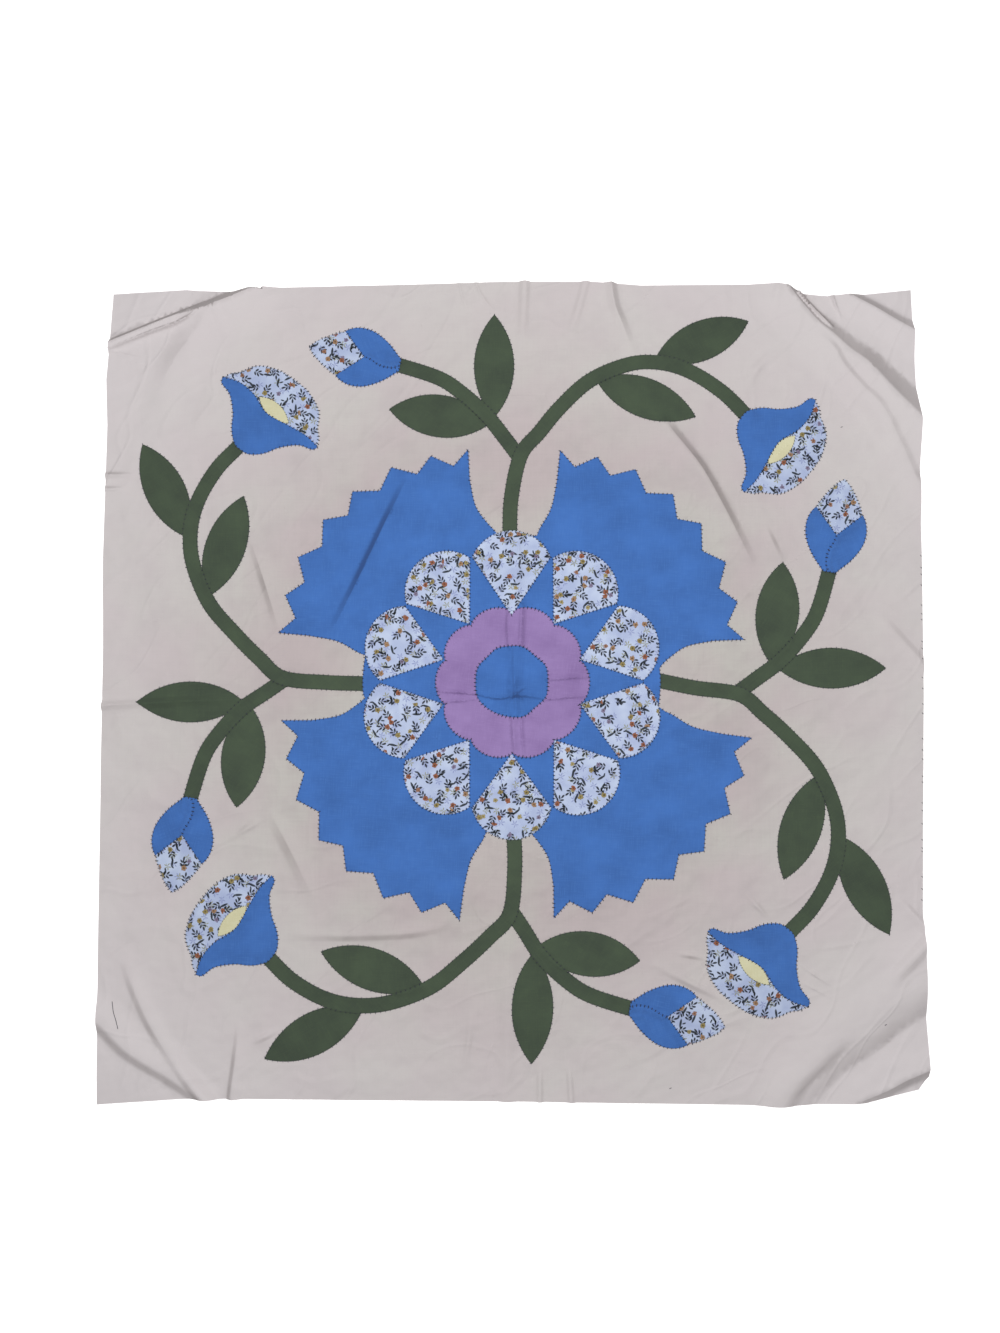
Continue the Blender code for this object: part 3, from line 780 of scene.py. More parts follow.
MAIN_FOLDS = (
    Fold(((-444, 361), (-389, 384), (-352, 398), (-325, 407)),
         (5.5, 5.5, 4.5, 0.0), (5, 5), (10, 16), Shape.CREST),
    Fold(((-436, 356), (-390, 375), (-352, 388), (-330, 400)),
         (1.5, 2.5, 2.5, 0.0), (4, 4), (4, 4), Shape.GROOVE),
    Fold(((-390, 380), (-352, 395), (-319, 407), (-283, 423)),
         (0.0, 4.5, 9.0, 9.0), (6, 12), (26, 34), Shape.CREST),
    Fold(((-312, 416), (-330, 390), (-346, 367), (-362, 343), (-384, 296)),
         (3.0, 5.0, 5.0, 4.0, 0.0), (46, 30), (25, 19), Shape.CREST),
    Fold(((292, 438), (304, 420), (327, 391), (345, 375), (364, 357), (385, 341),
          (406, 318), (422, 301), (448, 275)),
         (6.0, 7.5, 7.5, 7.5, 8.5, 10.0, 11.5, 12.5, 12.5), (8, 29), (36, 50), Shape.CREST),
    Fold(((310, 420), (325.5, 401), (338, 387), (346, 379)),
         (5.0, 4.8, 3.4, 0.0), (3.2, 2.6), (3.2, 2.6), Shape.CREST),
    Fold(((354, 424), (368, 416), (392, 403), (413, 390), (448, 370)),
         (4.0, 5.4, 6.0, 6.0, 6.0), (8, 13), (20, 28), Shape.CREST),
    Fold(((322, 376), (343, 356), (353, 338), (374, 313), (395, 289), (426, 226), (446, 192)),
         (0.0, 3.0, 3.5, 3.5, 3.5, 3.0, 3.0), (9, 12), (22, 26)),
    Fold(((440, -304), (410, -324), (386, -339), (364, -357), (331, -377), (305, -402), (284, -424)),
         (7.0, 7.0, 6.8, 6.4, 5.8, 5.0, 4.2), (34, 32), (70, 50), Shape.LEDGE),
    Fold(((444, -396), (430, -404), (408, -413), (387, -424), (362, -434), (340, -446)),
         (6.5, 6.5, 6.0, 5.2, 4.0, 3.0), (12, 9), (44, 24), Shape.CREST),
    Fold(((342, -360), (326, -380), (308, -397), (292, -414), (281, -432), (276, -446)),
         (0.0, 2.2, 2.8, 3.2, 3.4, 3.4), (14, 14), (26, 26), Shape.LEDGE),
    Fold(((-446, -346), (-425, -357), (-398, -383), (-358, -407), (-318, -434)),
         (5.5, 5.5, 5.0, 4.5, 3.5), (30, 20), (16, 12)),
    Fold(((-407, -277), (-391, -322), (-372, -361), (-350, -392), (-312, -440)),
         (0.0, 2.4, 3.0, 3.3, 3.3), (14, 14), (10, 10)),
    Fold(((-281, -350), (-286, -394), (-290, -425), (-291, -442)), (0.0, 3.4, 4.0, 4.0), (14, 14), (7, 7)),
    Fold(((107, 438), (111, 408), (118, 388), (132, 350)),
         (5.0, 4.6, 3.6, 0.0), (7, 9), (9, 11), Shape.CREST),
    Fold(((15, 440), (14, 419), (13, 387), (12, 352)), (4.2, 3.8, 2.8, 0.0), (8, 8), (9, 9)),
    Fold(((82, 438), (71, 397), (57, 358)), (3.0, 2.6, 0.0), (7, 7), (8, 8)),
    Fold(((-446, -26), (-428, -25), (-394, -23), (-334, -20), (-246, -18)),
         (4.6, 4.2, 3.6, 2.8, 0.0), (6, 6), (7, 7), Shape.CREST),
    Fold(((163, 284), (172, 269), (203, 229), (230, 179), (262, 112)),
         (0.0, 4.2, 5.6, 5.0, 0.0), (9, 9), (22, 20), Shape.CREST),
    Fold(((-105, 228), (-134, 170), (-161, 112), (-193, 46)),
         (0.0, 4.2, 4.2, 0.0), (17, 17), (7, 7), Shape.CREST),
    Fold(((-281, 162), (-262, 106), (-243, 46)), (0.0, 3.4, 0.0), (11, 11), (7, 7), Shape.CREST),
    Fold(((-258, -128), (-234, -171), (-200, -238)), (0.0, 3.8, 0.0), (12, 12), (12, 12), Shape.CREST),
    Fold(((6, 176), (7, 130), (6, 60), (4, 0), (4, -96)), (0.0, 2.0, 2.0, 2.0, 0.0), (12, 12), (12, 12)),
    Fold(((-3, -236), (-4, -340), (-5, -442)), (0.0, 2.4, 2.2), (12, 12), (12, 12)),
    Fold(((450, -256), (430, -273), (401, -302), (386, -314)), (3.8, 3.4, 2.6, 0.0), (12, 12), (10, 10)),
)
PRESS_CREASES = (
    Fold(((345, 416), (350, 403), (355, 388)), (2.0, 1.7, 0.0), (5, 4), (5, 4), Shape.GROOVE),
    Fold(((287, 424), (284, 410), (281, 396)), (1.6, 1.4, 0.0), (8, 7), (8, 7)),
    Fold(((-438, 358), (-410, 350), (-382, 346)), (1.2, 1.0, 0.0), (5, 5), (6, 6), Shape.GROOVE),
    Fold(((268, 168), (277, 148), (287, 126)), (0.0, 2.2, 0.0), (7, 7), (7, 7)),
    Fold(((384, 75), (408, 48), (440, 12)), (0.0, 2.0, 2.2), (10, 10), (8, 8)),
    Fold(((243, 290), (262, 335), (287, 358)), (0.0, 2.6, 0.0), (9, 9), (9, 9)),
    Fold(((-440, 221), (-420, 221), (-396, 220)), (3.2, 2.6, 0.0), (4, 4), (5, 5), Shape.CREST),
    Fold(((-440, 206), (-424, 206), (-408, 206)), (2.6, 2.0, 0.0), (4, 4), (4, 4), Shape.CREST),
    Fold(((-57, 434), (-52, 412), (-43, 397)), (1.4, 1.1, 0.0), (5, 5), (5, 5), Shape.GROOVE),
    Fold(((-40, 434), (-30, 413), (-12, 392)), (1.4, 1.1, 0.0), (5, 5), (5, 5), Shape.GROOVE),
    Fold(((-290, -162), (-277, -153), (-264, -144)), (0.0, 2.0, 0.0), (6, 6), (6, 6)),
    Fold(((-248, -263), (-175, -264), (-105, -261), (-52, -249)), (0.0, 2.6, 2.6, 0.0), (9, 9), (9, 9)),
    Fold(((-271, -376), (-256, -368), (-241, -360)), (0.0, 2.2, 0.0), (5, 5), (6, 6)),
    Fold(((-40, -340), (-45, -374), (-50, -408)), (0.0, 2.0, 0.0), (6, 6), (6, 6)),
    Fold(((398, -222), (414, -238), (436, -262)), (0.0, 2.4, 2.6), (7, 7), (9, 9)),
    Fold(((296, -291), (316, -306), (337, -319)), (0.0, 1.4, 0.0), (4, 4), (4, 4), Shape.GROOVE),
    Fold(((298, -311), (316, -320), (334, -330)), (0.0, 1.2, 0.0), (4, 4), (4, 4), Shape.GROOVE),
    Fold(((170, -283), (186, -285), (205, -289)), (0.0, 1.8, 0.0), (5, 5), (5, 5)),
    Fold(((139, -290), (185, -313), (240, -339)), (0.0, 2.2, 0.0), (6, 6), (7, 7)),
    Fold(((241, -218), (256, -234), (271, -251)), (0.0, 2.0, 0.0), (5, 5), (5, 5)),
    Fold(((29, -388), (29, -412), (29, -440)), (0.0, 2.0, 2.2), (5, 5), (5, 5)),
    Fold(((58, -388), (60, -412), (62, -440)), (0.0, 2.0, 2.2), (5, 5), (5, 5)),
    Fold(((-3, 80), (-4, 60), (-3, 39)), (1.4, 2.2, 1.6), (9, 9), (6, 6), Shape.GROOVE),
    Fold(((11, 82), (10, 60), (9, 38)), (1.3, 2.3, 1.8), (7, 7), (5, 5), Shape.GROOVE),
    Fold(((1, -37), (2, -56), (4, -79)), (1.6, 2.2, 1.0), (8, 8), (6, 6), Shape.GROOVE),
    Fold(((10, -37), (11, -56), (13, -78)), (1.1, 1.8, 0.8), (5, 5), (4, 4), Shape.GROOVE),
    Fold(((-76, -10), (-56, -11), (-36, -13)), (1.0, 1.9, 1.2), (6, 6), (4, 4), Shape.GROOVE),
    Fold(((-75, -21), (-56, -20), (-37, -18)), (0.9, 1.5, 0.9), (5, 5), (4, 4), Shape.GROOVE),
    Fold(((40, 2), (60, 4), (80, 5)), (1.2, 2.1, 1.0), (7, 7), (4, 4), Shape.GROOVE),
    Fold(((40, -18), (60, -16), (80, -15)), (1.0, 1.8, 0.9), (7, 7), (5, 5), Shape.GROOVE),
    Fold(((-36, -13), (-14, -17), (8, -14), (38, -18)), (0.9, 1.7, 1.7, 0.9), (7, 7), (5, 5), Shape.GROOVE),
    Fold(((3, 36), (3, 10), (4, -14), (5, -35)), (0.6, 1.2, 1.5, 0.7), (6, 6), (5, 5), Shape.GROOVE),
    Fold(((-8, -26), (4, -13), (17, -3)), (0.0, 1.3, 0.0), (4, 4), (4, 4), Shape.GROOVE),
    Fold(((-6, -6), (5, -13), (15, -23)), (0.0, 1.1, 0.0), (4, 4), (4, 4), Shape.GROOVE),
    Fold(((7, 158), (8, 116), (6, 86)), (0.5, 1.2, 0.8), (4, 4), (4, 4), Shape.GROOVE),
    Fold(((2, -82), (2, -120), (3, -162)), (0.7, 1.1, 0.4), (5, 5), (5, 5), Shape.GROOVE),
)


@dataclass(frozen=True)
class Ripple:
    """A faint wave over the whole cloth: its length, its heading in degrees, its phase and its rise."""

    length: float
    heading: float
    phase: float
    rise: float


@dataclass
class Muslin:
    """The ground: one thin cloth, laid flat, with its folds, creases and hand-cut edge.

    The mesh has a loose grid and points of its own along each fold, with gaps that keep them apart. Every
    steep side takes a share of painted shade, with some soil, and the sharp angle is in radians.
    """

    thickness: float = 1.0
    spacing: float = 6.2
    edge_step: float = 3.0
    edge_gap: float = 1.6
    fold_step: float = 3.4
    fold_gap: float = 3.4
    least_gap: float = 0.9
    sharp_angle: float = 1.0
    steep_shade_and_soil: float = 0.35
    top: Rows = ((-428, 417), (-350, 422), (-298, 418), (-274, 424), (-104, 428), (-7, 431), (90, 431),
                 (139, 427), (284, 428), (299, 425), (312, 418), (340, 415), (381, 417), (430, 422))
    right: Rows = ((430, 422), (433, 330), (435, 275), (436, 131), (435, -12), (431, -154), (429, -248),
                   (431, -389), (431, -408), (421, -422))
    bottom: Rows = ((421, -422), (366, -435), (273, -438), (-7, -434), (-333, -431), (-429, -437))
    left: Rows = ((-429, -437), (-431, -295), (-432, 36), (-434, 131), (-432, 275), (-434, 324), (-428, 417))
    folds: tuple[Fold, ...] = MAIN_FOLDS
    creases: tuple[Fold, ...] = PRESS_CREASES
    ripples: tuple[Ripple, ...] = (
        Ripple(211.0, 34.0, 0.3, 0.34), Ripple(143.0, 118.0, 1.9, 0.30), Ripple(97.0, 71.0, 4.1, 0.22),
        Ripple(66.0, 158.0, 2.7, 0.16), Ripple(47.0, 12.0, 5.2, 0.11), Ripple(33.0, 96.0, 0.8, 0.07),
    )

    def height(self, xy: np.ndarray) -> np.ndarray:
        """The height of the cloth's upper face over each point, in millimetres."""
        z = np.zeros(len(xy))
        for fold in (*self.folds, *self.creases):
            z += fold.height(xy)
        soft = np.zeros(len(xy))
        for wave in self.ripples:
            c, s = math.cos(math.radians(wave.heading)), math.sin(math.radians(wave.heading))
            soft += wave.rise * np.sin(2 * np.pi * (xy[:, 0] * c + xy[:, 1] * s) / wave.length + wave.phase)
        return np.maximum(z + np.maximum(soft, 0.0), 0.0) + self.thickness

    def greying(self, xy: np.ndarray, steep_shade_and_soil: float) -> np.ndarray:
        """How much painted shade, with some soil, the folds take at each point.

        Args:
            xy: rows of points, in millimetres.
            steep_shade_and_soil: the share of painted shade, with some soil, that every steep side takes,
                beyond the painted shade on the sides that fall outwards.

        Returns:
            One value a point, 0 where the cloth is level.
        """
        east, north = (self.height(xy + step) - self.height(xy - step) for step in ((0.5, 0.0), (0.0, 0.5)))
        out = xy / np.maximum(np.linalg.norm(xy, axis=1), 1.0)[:, None]
        # Painted shade on the slopes that fall away from the lamp over the middle, as if in its shadow; every
        # steep side takes a share more, painted shade with some soil.
        outward_painted_shade = np.maximum(-(east * out[:, 0] + north * out[:, 1]), 0.0)
        return outward_painted_shade + steep_shade_and_soil * np.hypot(east, north)

    @cached_property
    def bends(self) -> np.ndarray:
        """Where the cloth's mesh has points of its own along the folds."""
        rows = [fold.points(self.fold_step) for fold in (*self.folds, *self.creases)]
        return spaced(np.concatenate(rows), self.least_gap)

    def build(self, table: "Table") -> bpy.types.Object:
        """The closed thin sheet: an upper face, an under face and the cut edge between them."""
        corners = [*self.top[:-1], *self.right[:-1], *self.bottom[:-1], *self.left[:-1]]
        edge = resampled(anticlockwise(corners), self.edge_step, 3.0)
        region = Region(edge)
        grid = clear_of(loose_grid(region.low, region.high, self.spacing), self.bends, self.fold_gap)
        inner = np.concatenate((self.bends, grid))
        inner = inner[region.depth(inner)[0] > self.edge_gap]
        xy, faces = triangulated(np.concatenate((edge, inner)), [len(edge)])
        count = len(xy)
        z = self.height(xy)
        ways = np.concatenate((faces[:, (0, 1)], faces[:, (1, 2)], faces[:, (2, 0)]))
        rim = ways[~np.isin(ways @ (count, 1), ways @ (1, count))]
        sides = np.column_stack((rim[:, 1], rim[:, 0], rim[:, 0] + count, rim[:, 1] + count))
        points = np.concatenate((np.column_stack((xy, z)), np.column_stack((xy, z - self.thickness))))
        faces = [*faces.tolist(), *(faces[:, ::-1] + count).tolist(), *sides.tolist()]
        # Painted shade on the folds, with some soil, the same on both faces.
        grey = np.tile(self.greying(xy, self.steep_shade_and_soil), 2)
        cloth = table.place("ground_cloth", points, faces, MUSLIN, [("greying", grey)], "ground")
        cloth.data.set_sharp_from_angle(angle=self.sharp_angle)
        return cloth


# Patches


@dataclass(frozen=True)
class Stitch:
    """How a piece is whipped down: its stitches' spacing, their reach over the edge, thread and slant."""

    pitch: float = 4.6
    inside: float = 1.5
    outside: float = 0.9
    radius: float = 0.38
    slant: float = 0.35


@dataclass(frozen=True)
class Rim:
    """A turned edge: how round it is, how wide the turning is, and how the stitches pucker it."""

    radius: float = 0.9
    turning: float = 4.8
    drop: float = 0.28
    pucker: float = 0.16
    bulge: float = 0.25


@dataclass(eq=False)
class Patch:
    """One piece of applique, cut to its outline, turned under and sewn down over what lies beneath it."""

    name: str
    node: str
    outline: np.ndarray
    finish: Finish
    beneath: list["Patch"] = field(default_factory=list)
    above: list["Patch"] = field(default_factory=list)
    hole: np.ndarray | None = None
    thickness: float = 0.95
    spacing: float = 3.0
    grain: float = 0.0
    cut_from: Point = (0.0, 0.0)
    rim: Rim = Rim()
    stitch: Stitch = Stitch()
    # the share of painted fold shade, with some soil, on the piece's steep sides
    steep_shade_and_soil: float = 0.6
    TURNING_HALF = 0.9  # half the width of the step down at the end of the turning
    EDGE_ROWS = (0.35, 0.9, 2.2)  # the depths of the mesh's rows of points inside the edge
    EDGE_GAP = 1.4
    BEND_GAP = 0.9
    SINK = 0.15  # how far the skirt goes into what the piece lies on

    def __post_init__(self) -> None:
        """Evens out the edge and lets each stitch draw it in."""
        step = self.stitch.pitch / 4
        self.plain = [resampled(anticlockwise(self.outline), step)]
        if self.hole is not None:
            self.plain.append(resampled(anticlockwise(self.hole), step)[::-1].copy())
        self.edges = [self.puckered(line) for line in self.plain]
        self.regions = [Region(line if i == 0 else line[::-1].copy()) for i, line in enumerate(self.edges)]
        for patch in self.beneath:
            patch.above.append(self)

    def puckered(self, line: np.ndarray) -> np.ndarray:
        """The edge bulging a little between one stitch and the next."""
        run = np.concatenate(([0.0], np.cumsum(np.linalg.norm(np.diff(line, axis=0), axis=1))))
        swing = np.abs(np.sin(np.pi * run / self.stitch.pitch)) - 0.5
        return line - inward(line) * (swing * self.rim.bulge)[:, None]

    def depth(self, xy: np.ndarray) -> tuple[np.ndarray, np.ndarray]:
        """How far each point lies inside the piece's nearest edge, and the run along that edge."""
        deep, run = self.regions[0].depth(xy)
        if self.hole is not None:
            into, hole_run = self.regions[1].depth(xy)
            nearer = -into < deep
            deep, run = np.where(nearer, -into, deep), np.where(nearer, hole_run, run)
        return deep, run

    def swelling(self, deep: np.ndarray, run: np.ndarray) -> np.ndarray:
        """The piece's own thickness at a depth from its edge.

        Args:
            deep: each point's depth from the edge.
            run: how far along the edge its nearest place lies.

        Returns:
            The thickness with the round rim, the step at the end of the turning and the puckers.
        """
        share = np.clip(deep / self.rim.radius, 0.0, 1.0)
        body = self.thickness * (0.30 + 0.70 * np.sqrt(1 - (1 - share) ** 2))
        turning = self.rim.turning
        step = self.rim.drop * rise_between(deep, turning - self.TURNING_HALF, turning + self.TURNING_HALF)
        swing = np.abs(np.sin(np.pi * run / self.stitch.pitch)) - 0.5
        pucker = self.rim.pucker * swing * np.exp(-np.maximum(deep, 0.0) / 1.3)
        return body - step + pucker

    def cover(self, xy: np.ndarray) -> np.ndarray:
        """How much this piece lifts a cloth that lies over it at each point."""
        lift = np.zeros(len(xy))
        near = self.regions[0].near(xy, 3.0)
        if near.any():
            deep, _ = self.depth(xy[near])
            lift[near] = (self.thickness + 0.1) * rise_between(deep, -1.6, 0.4)
        return lift

    @cached_property
    def layers(self) -> list["Patch"]:
        """Every piece beneath this one, those beneath its own neighbours too, each once."""
        found: list[Patch] = []
        for patch in self.beneath:
            found += [layer for layer in (patch, *patch.layers) if layer not in found]
        return found

    def bed(self, muslin: Muslin, xy: np.ndarray) -> np.ndarray:
        """The height of what the piece lies on."""
        return muslin.height(xy) + sum((patch.cover(xy) for patch in self.layers), np.zeros(len(xy)))

    def plan_points(self, muslin: Muslin) -> np.ndarray:
        """The plan's points: the edge, rows along inside it and along the folds, and a loose grid between."""
        points = list(self.edges)
        turning = self.rim.turning
        offsets = (*self.EDGE_ROWS, turning - self.TURNING_HALF, turning + self.TURNING_HALF)
        for i, offset in enumerate(offsets):
            for line in self.edges:
                some = line[::1 if i < 2 else 2]
                row = some + inward(line)[::1 if i < 2 else 2] * offset
                deep, _ = self.depth(row)
                points.append(row[deep > offset * 0.93])
        bends = muslin.bends[self.regions[0].near(muslin.bends, 0.0)]
        bends = bends[self.depth(bends)[0] > self.EDGE_GAP] if len(bends) else bends
        rows = np.concatenate(points[len(self.edges):])
        grid = loose_grid(self.regions[0].low, self.regions[0].high, self.spacing)
        grid = grid[self.depth(grid)[0] > turning + self.TURNING_HALF + self.spacing * 0.45]
        if len(bends):
            bends = clear_of(bends, rows, self.BEND_GAP)
            grid = clear_of(grid, bends, 2 * self.BEND_GAP)
        return np.concatenate((*points, bends, grid))

    def mesh_data(self, muslin: Muslin) -> tuple[np.ndarray, np.ndarray, np.ndarray, np.ndarray]:
        """The piece's upper face.

        Args:
            muslin: the cloth under it.

        Returns:
            Its points, its triangles, each point's depth from the edge, and the height of its bed.
        """
        xy, triangles = triangulated(self.plan_points(muslin), [len(line) for line in self.edges])
        middle, _ = self.depth(xy[triangles].mean(axis=1))
        triangles = triangles[middle > 0]
        used = np.unique(triangles)
        place = np.full(len(xy), -1)
        place[used] = np.arange(len(used))
        xy, triangles = xy[used], place[triangles]
        deep, run = self.depth(xy)
        deep = np.maximum(deep, 0.0)
        bed = self.bed(muslin, xy)
        points = np.column_stack((xy, bed + self.swelling(deep, run)))
        return points, triangles, deep, bed

    def build(self, muslin: Muslin, table: "Table") -> bpy.types.Object:
        """Makes the piece with its skirt down to what it lies on."""
        points, triangles, deep, bed = self.mesh_data(muslin)
        c, s = math.cos(math.radians(self.grain)), math.sin(math.radians(self.grain))
        moved = points[:, :2] - self.regions[0].points.mean(axis=0)
        cut = np.column_stack((moved[:, 0] * c - moved[:, 1] * s + self.cut_from[0],
                               moved[:, 0] * s + moved[:, 1] * c + self.cut_from[1]))
        # Painted shade from the folds beneath the piece, with some soil.
        values = [("rim", deep), ("greying", muslin.greying(points[:, :2], self.steep_shade_and_soil))]
        return table.place(self.name, points, triangles, self.finish, values, self.node, cut=cut,
                           skirt=bed - self.SINK)

    def stitches(self, muslin: Muslin, rng: np.random.Generator) -> tuple[np.ndarray, np.ndarray]:
        """The whip stitches along the piece's open edges.

        Args:
            muslin: the cloth under it.
            rng: for the small differences between one stitch and the next.

        Returns:
            The path of each stitch, four points a stitch, and each thread's radius.
        """
        paths, radii = [], []
        for i, line in enumerate(self.plain):
            spots, ways = line[::4], inward(line)[::4]
            shown = np.ones(len(spots), bool)
            for patch in self.above:
                near = patch.regions[0].near(spots, 1.0)
                if near.any():
                    deep, _ = patch.depth(spots[near])
                    shown[np.flatnonzero(near)[deep > -0.3]] = False
            spots, ways = spots[shown], ways[shown]
            if not len(spots):
                continue
            along = np.column_stack((ways[:, 1], -ways[:, 0]))
            lean = (self.stitch.slant + rng.normal(0.0, 0.18, len(spots)))[:, None] * along
            reach = 1 + rng.normal(0.0, 0.22, len(spots))[:, None]
            first = spots + ways * self.stitch.inside * reach + lean
            over = spots + ways * self.rim.radius * 0.45
            last = spots - ways * self.stitch.outside * reach - lean
            stations = [(first, self.thickness - 0.15), (over, self.thickness + 0.12),
                        (spots - ways * 0.15, self.thickness * 0.75), (last, 0.0)]
            paths.append(np.stack([np.column_stack((place, self.bed(muslin, place) + lift))
                                   for place, lift in stations], axis=1))
            radii.append(np.full(len(spots), self.stitch.radius))
        if not paths:
            return np.zeros((0, 4, 3)), np.zeros(0)
        return np.concatenate(paths), np.concatenate(radii)


@dataclass
class LooseThreads:
    """Bits of dark thread on the muslin: a stray end, a few specks and short ticks along the right edge."""

    stray: tuple[Point, ...] = ((-415, -332), (-413, -342), (-409.5, -351), (-407, -359))
    specks: tuple[Point, ...] = ((163, -421), (352, 272), (385, -355))
    speck_length: float = 2.2
    edge: tuple[Point, ...] = ((436, 150), (434.8, -12), (431.2, -154), (429.4, -226))
    edge_pitch: float = 13.0
    edge_reach: float = 1.7
    radius: float = 0.3

    def laid(self, muslin: Muslin, ends: Rows) -> np.ndarray:
        """A thread's four points, resting on the cloth, between two ends or along four points."""
        rows = np.array(ends, float)
        if len(rows) == 2:
            rows = rows[0] + (rows[1] - rows[0]) * np.linspace(0, 1, 4)[:, None]
        return np.column_stack((rows, muslin.height(rows) + self.radius * 0.6))

    def paths(self, muslin: Muslin, rng: np.random.Generator) -> np.ndarray:
        """Every thread's points."""
        made = [self.laid(muslin, self.stray)]
        for x, y in self.specks:
            made.append(self.laid(muslin, ((x, y), (x + self.speck_length, y + 0.8))))
        ys = np.arange(self.edge[-1][1], self.edge[0][1], self.edge_pitch)
        for y in ys + rng.normal(0.0, 3.4, len(ys)):
            x = np.interp(y, [p[1] for p in self.edge[::-1]], [p[0] for p in self.edge[::-1]])
            made.append(self.laid(muslin, ((x - self.edge_reach, y + 0.5), (x - 0.3, y - 0.7))))
        return np.stack(made)


class Table:
    """Where the pieces are put together: plan millimetres become metres in the frame of the CAD."""

    def __init__(self) -> None:
        """Finds the medallion's middle and starts with nothing laid out."""
        low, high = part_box("ring")
        self.middle = (low + high) / 2
        self.finishes = Finishes()
        self.pieces: list[bpy.types.Object] = []

    def metres(self, points: np.ndarray) -> np.ndarray:
        """Plan points and heights in millimetres as metres in the frame."""
        return points * MM + np.array((self.middle.x, self.middle.y, 0.0))

    def place(self, name: str, points: np.ndarray, faces: Iterable[Sequence[int]], finish: Finish,
              values: list[tuple[str, np.ndarray]], node: str | None, cut: np.ndarray | None = None,
              skirt: np.ndarray | None = None) -> bpy.types.Object:
        """Makes a piece, and has it ride on the part in place of its node.

        Args:
            name: the piece's name.
            points: its points, in plan millimetres.
            faces: its faces' corners.
            finish: its cloth or thread.
            values: named values, one a point.
            node: the node that it stands for, if any.
            cut: where on the cloth each point was cut from, in millimetres.
            skirt: the height to which the open edge is carried down at each point.

        Returns:
            The object.
        """
        mesh = bpy.data.meshes.new(name)
        mesh.from_pydata(self.metres(points).tolist(), [], [tuple(face) for face in faces])
        for key, value in values:
            mesh.attributes.new(key, "FLOAT", "POINT").data.foreach_set("value", value.astype(np.float32))
        if cut is not None:
            corner = np.empty(len(mesh.loops), np.int32)
            mesh.loops.foreach_get("vertex_index", corner)
            layer = mesh.uv_layers.new(name="cut")
            layer.data.foreach_set("uv", (cut[corner] * MM).astype(np.float32).ravel())
        if skirt is not None:
            self.hem(mesh, skirt)
        mesh.shade_smooth()
        mesh.materials.append(self.finishes.of(finish))
        obj = bpy.data.objects.new(name, mesh)
        bpy.context.scene.collection.objects.link(obj)
        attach(obj, "root")
        if node is not None:
            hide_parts(node)
        self.pieces.append(obj)
        LOG.info("%s: %d faces", name, len(mesh.polygons))
        return obj

    @staticmethod
    def hem(mesh: bpy.types.Mesh, heights: np.ndarray) -> None:
        """Carries a piece's open edges down to the heights given for its points, in millimetres."""
        bm = bmesh.new()
        bm.from_mesh(mesh)
        bm.verts.ensure_lookup_table()
        down = {(round(v.co.x, 7), round(v.co.y, 7)): heights[v.index] * MM
                for v in bm.verts if v.is_boundary}
        made = bmesh.ops.extrude_edge_only(bm, edges=[e for e in bm.edges if e.is_boundary])["geom"]
        for vert in (item for item in made if isinstance(item, bmesh.types.BMVert)):
            vert.co.z = down[(round(vert.co.x, 7), round(vert.co.y, 7))]
        bm.to_mesh(mesh)
        bm.free()

    def threads(self, name: str, paths: np.ndarray, radii: np.ndarray) -> bpy.types.Object:
        """Joins many short stitches into one piece.

        Args:
            name: the piece's name.
            paths: each stitch's points, in plan millimetres.
            radii: each thread's radius.

        Returns:
            The object.
        """
        count, stations, _ = paths.shape
        way = paths[:, -1] - paths[:, 0]
        way[:, 2] = 0
        way /= np.maximum(np.linalg.norm(way, axis=1), 1e-9)[:, None]
        side = np.column_stack((-way[:, 1], way[:, 0], np.zeros(count)))
        up = np.tile((0.0, 0.0, 1.0), (count, 1))
        ring = np.stack((side, up, -side, -up), axis=1) * radii[:, None, None]
        points = (paths[:, :, None, :] + ring[:, None, :, :]).reshape(-1, 3)
        faces = []
        for i in range(stations - 1):
            for j in range(4):
                a, b = i * 4 + j, i * 4 + (j + 1) % 4
                faces.append((a, b, b + 4, a + 4))
        faces.append((3, 2, 1, 0))
        faces.append(tuple((stations - 1) * 4 + j for j in range(4)))
        faces = (np.arange(count)[:, None, None] * stations * 4 + np.array(faces)[None]).reshape(-1, 4)
        return self.place(name, points, faces, THREAD, [], None)


# The medallion


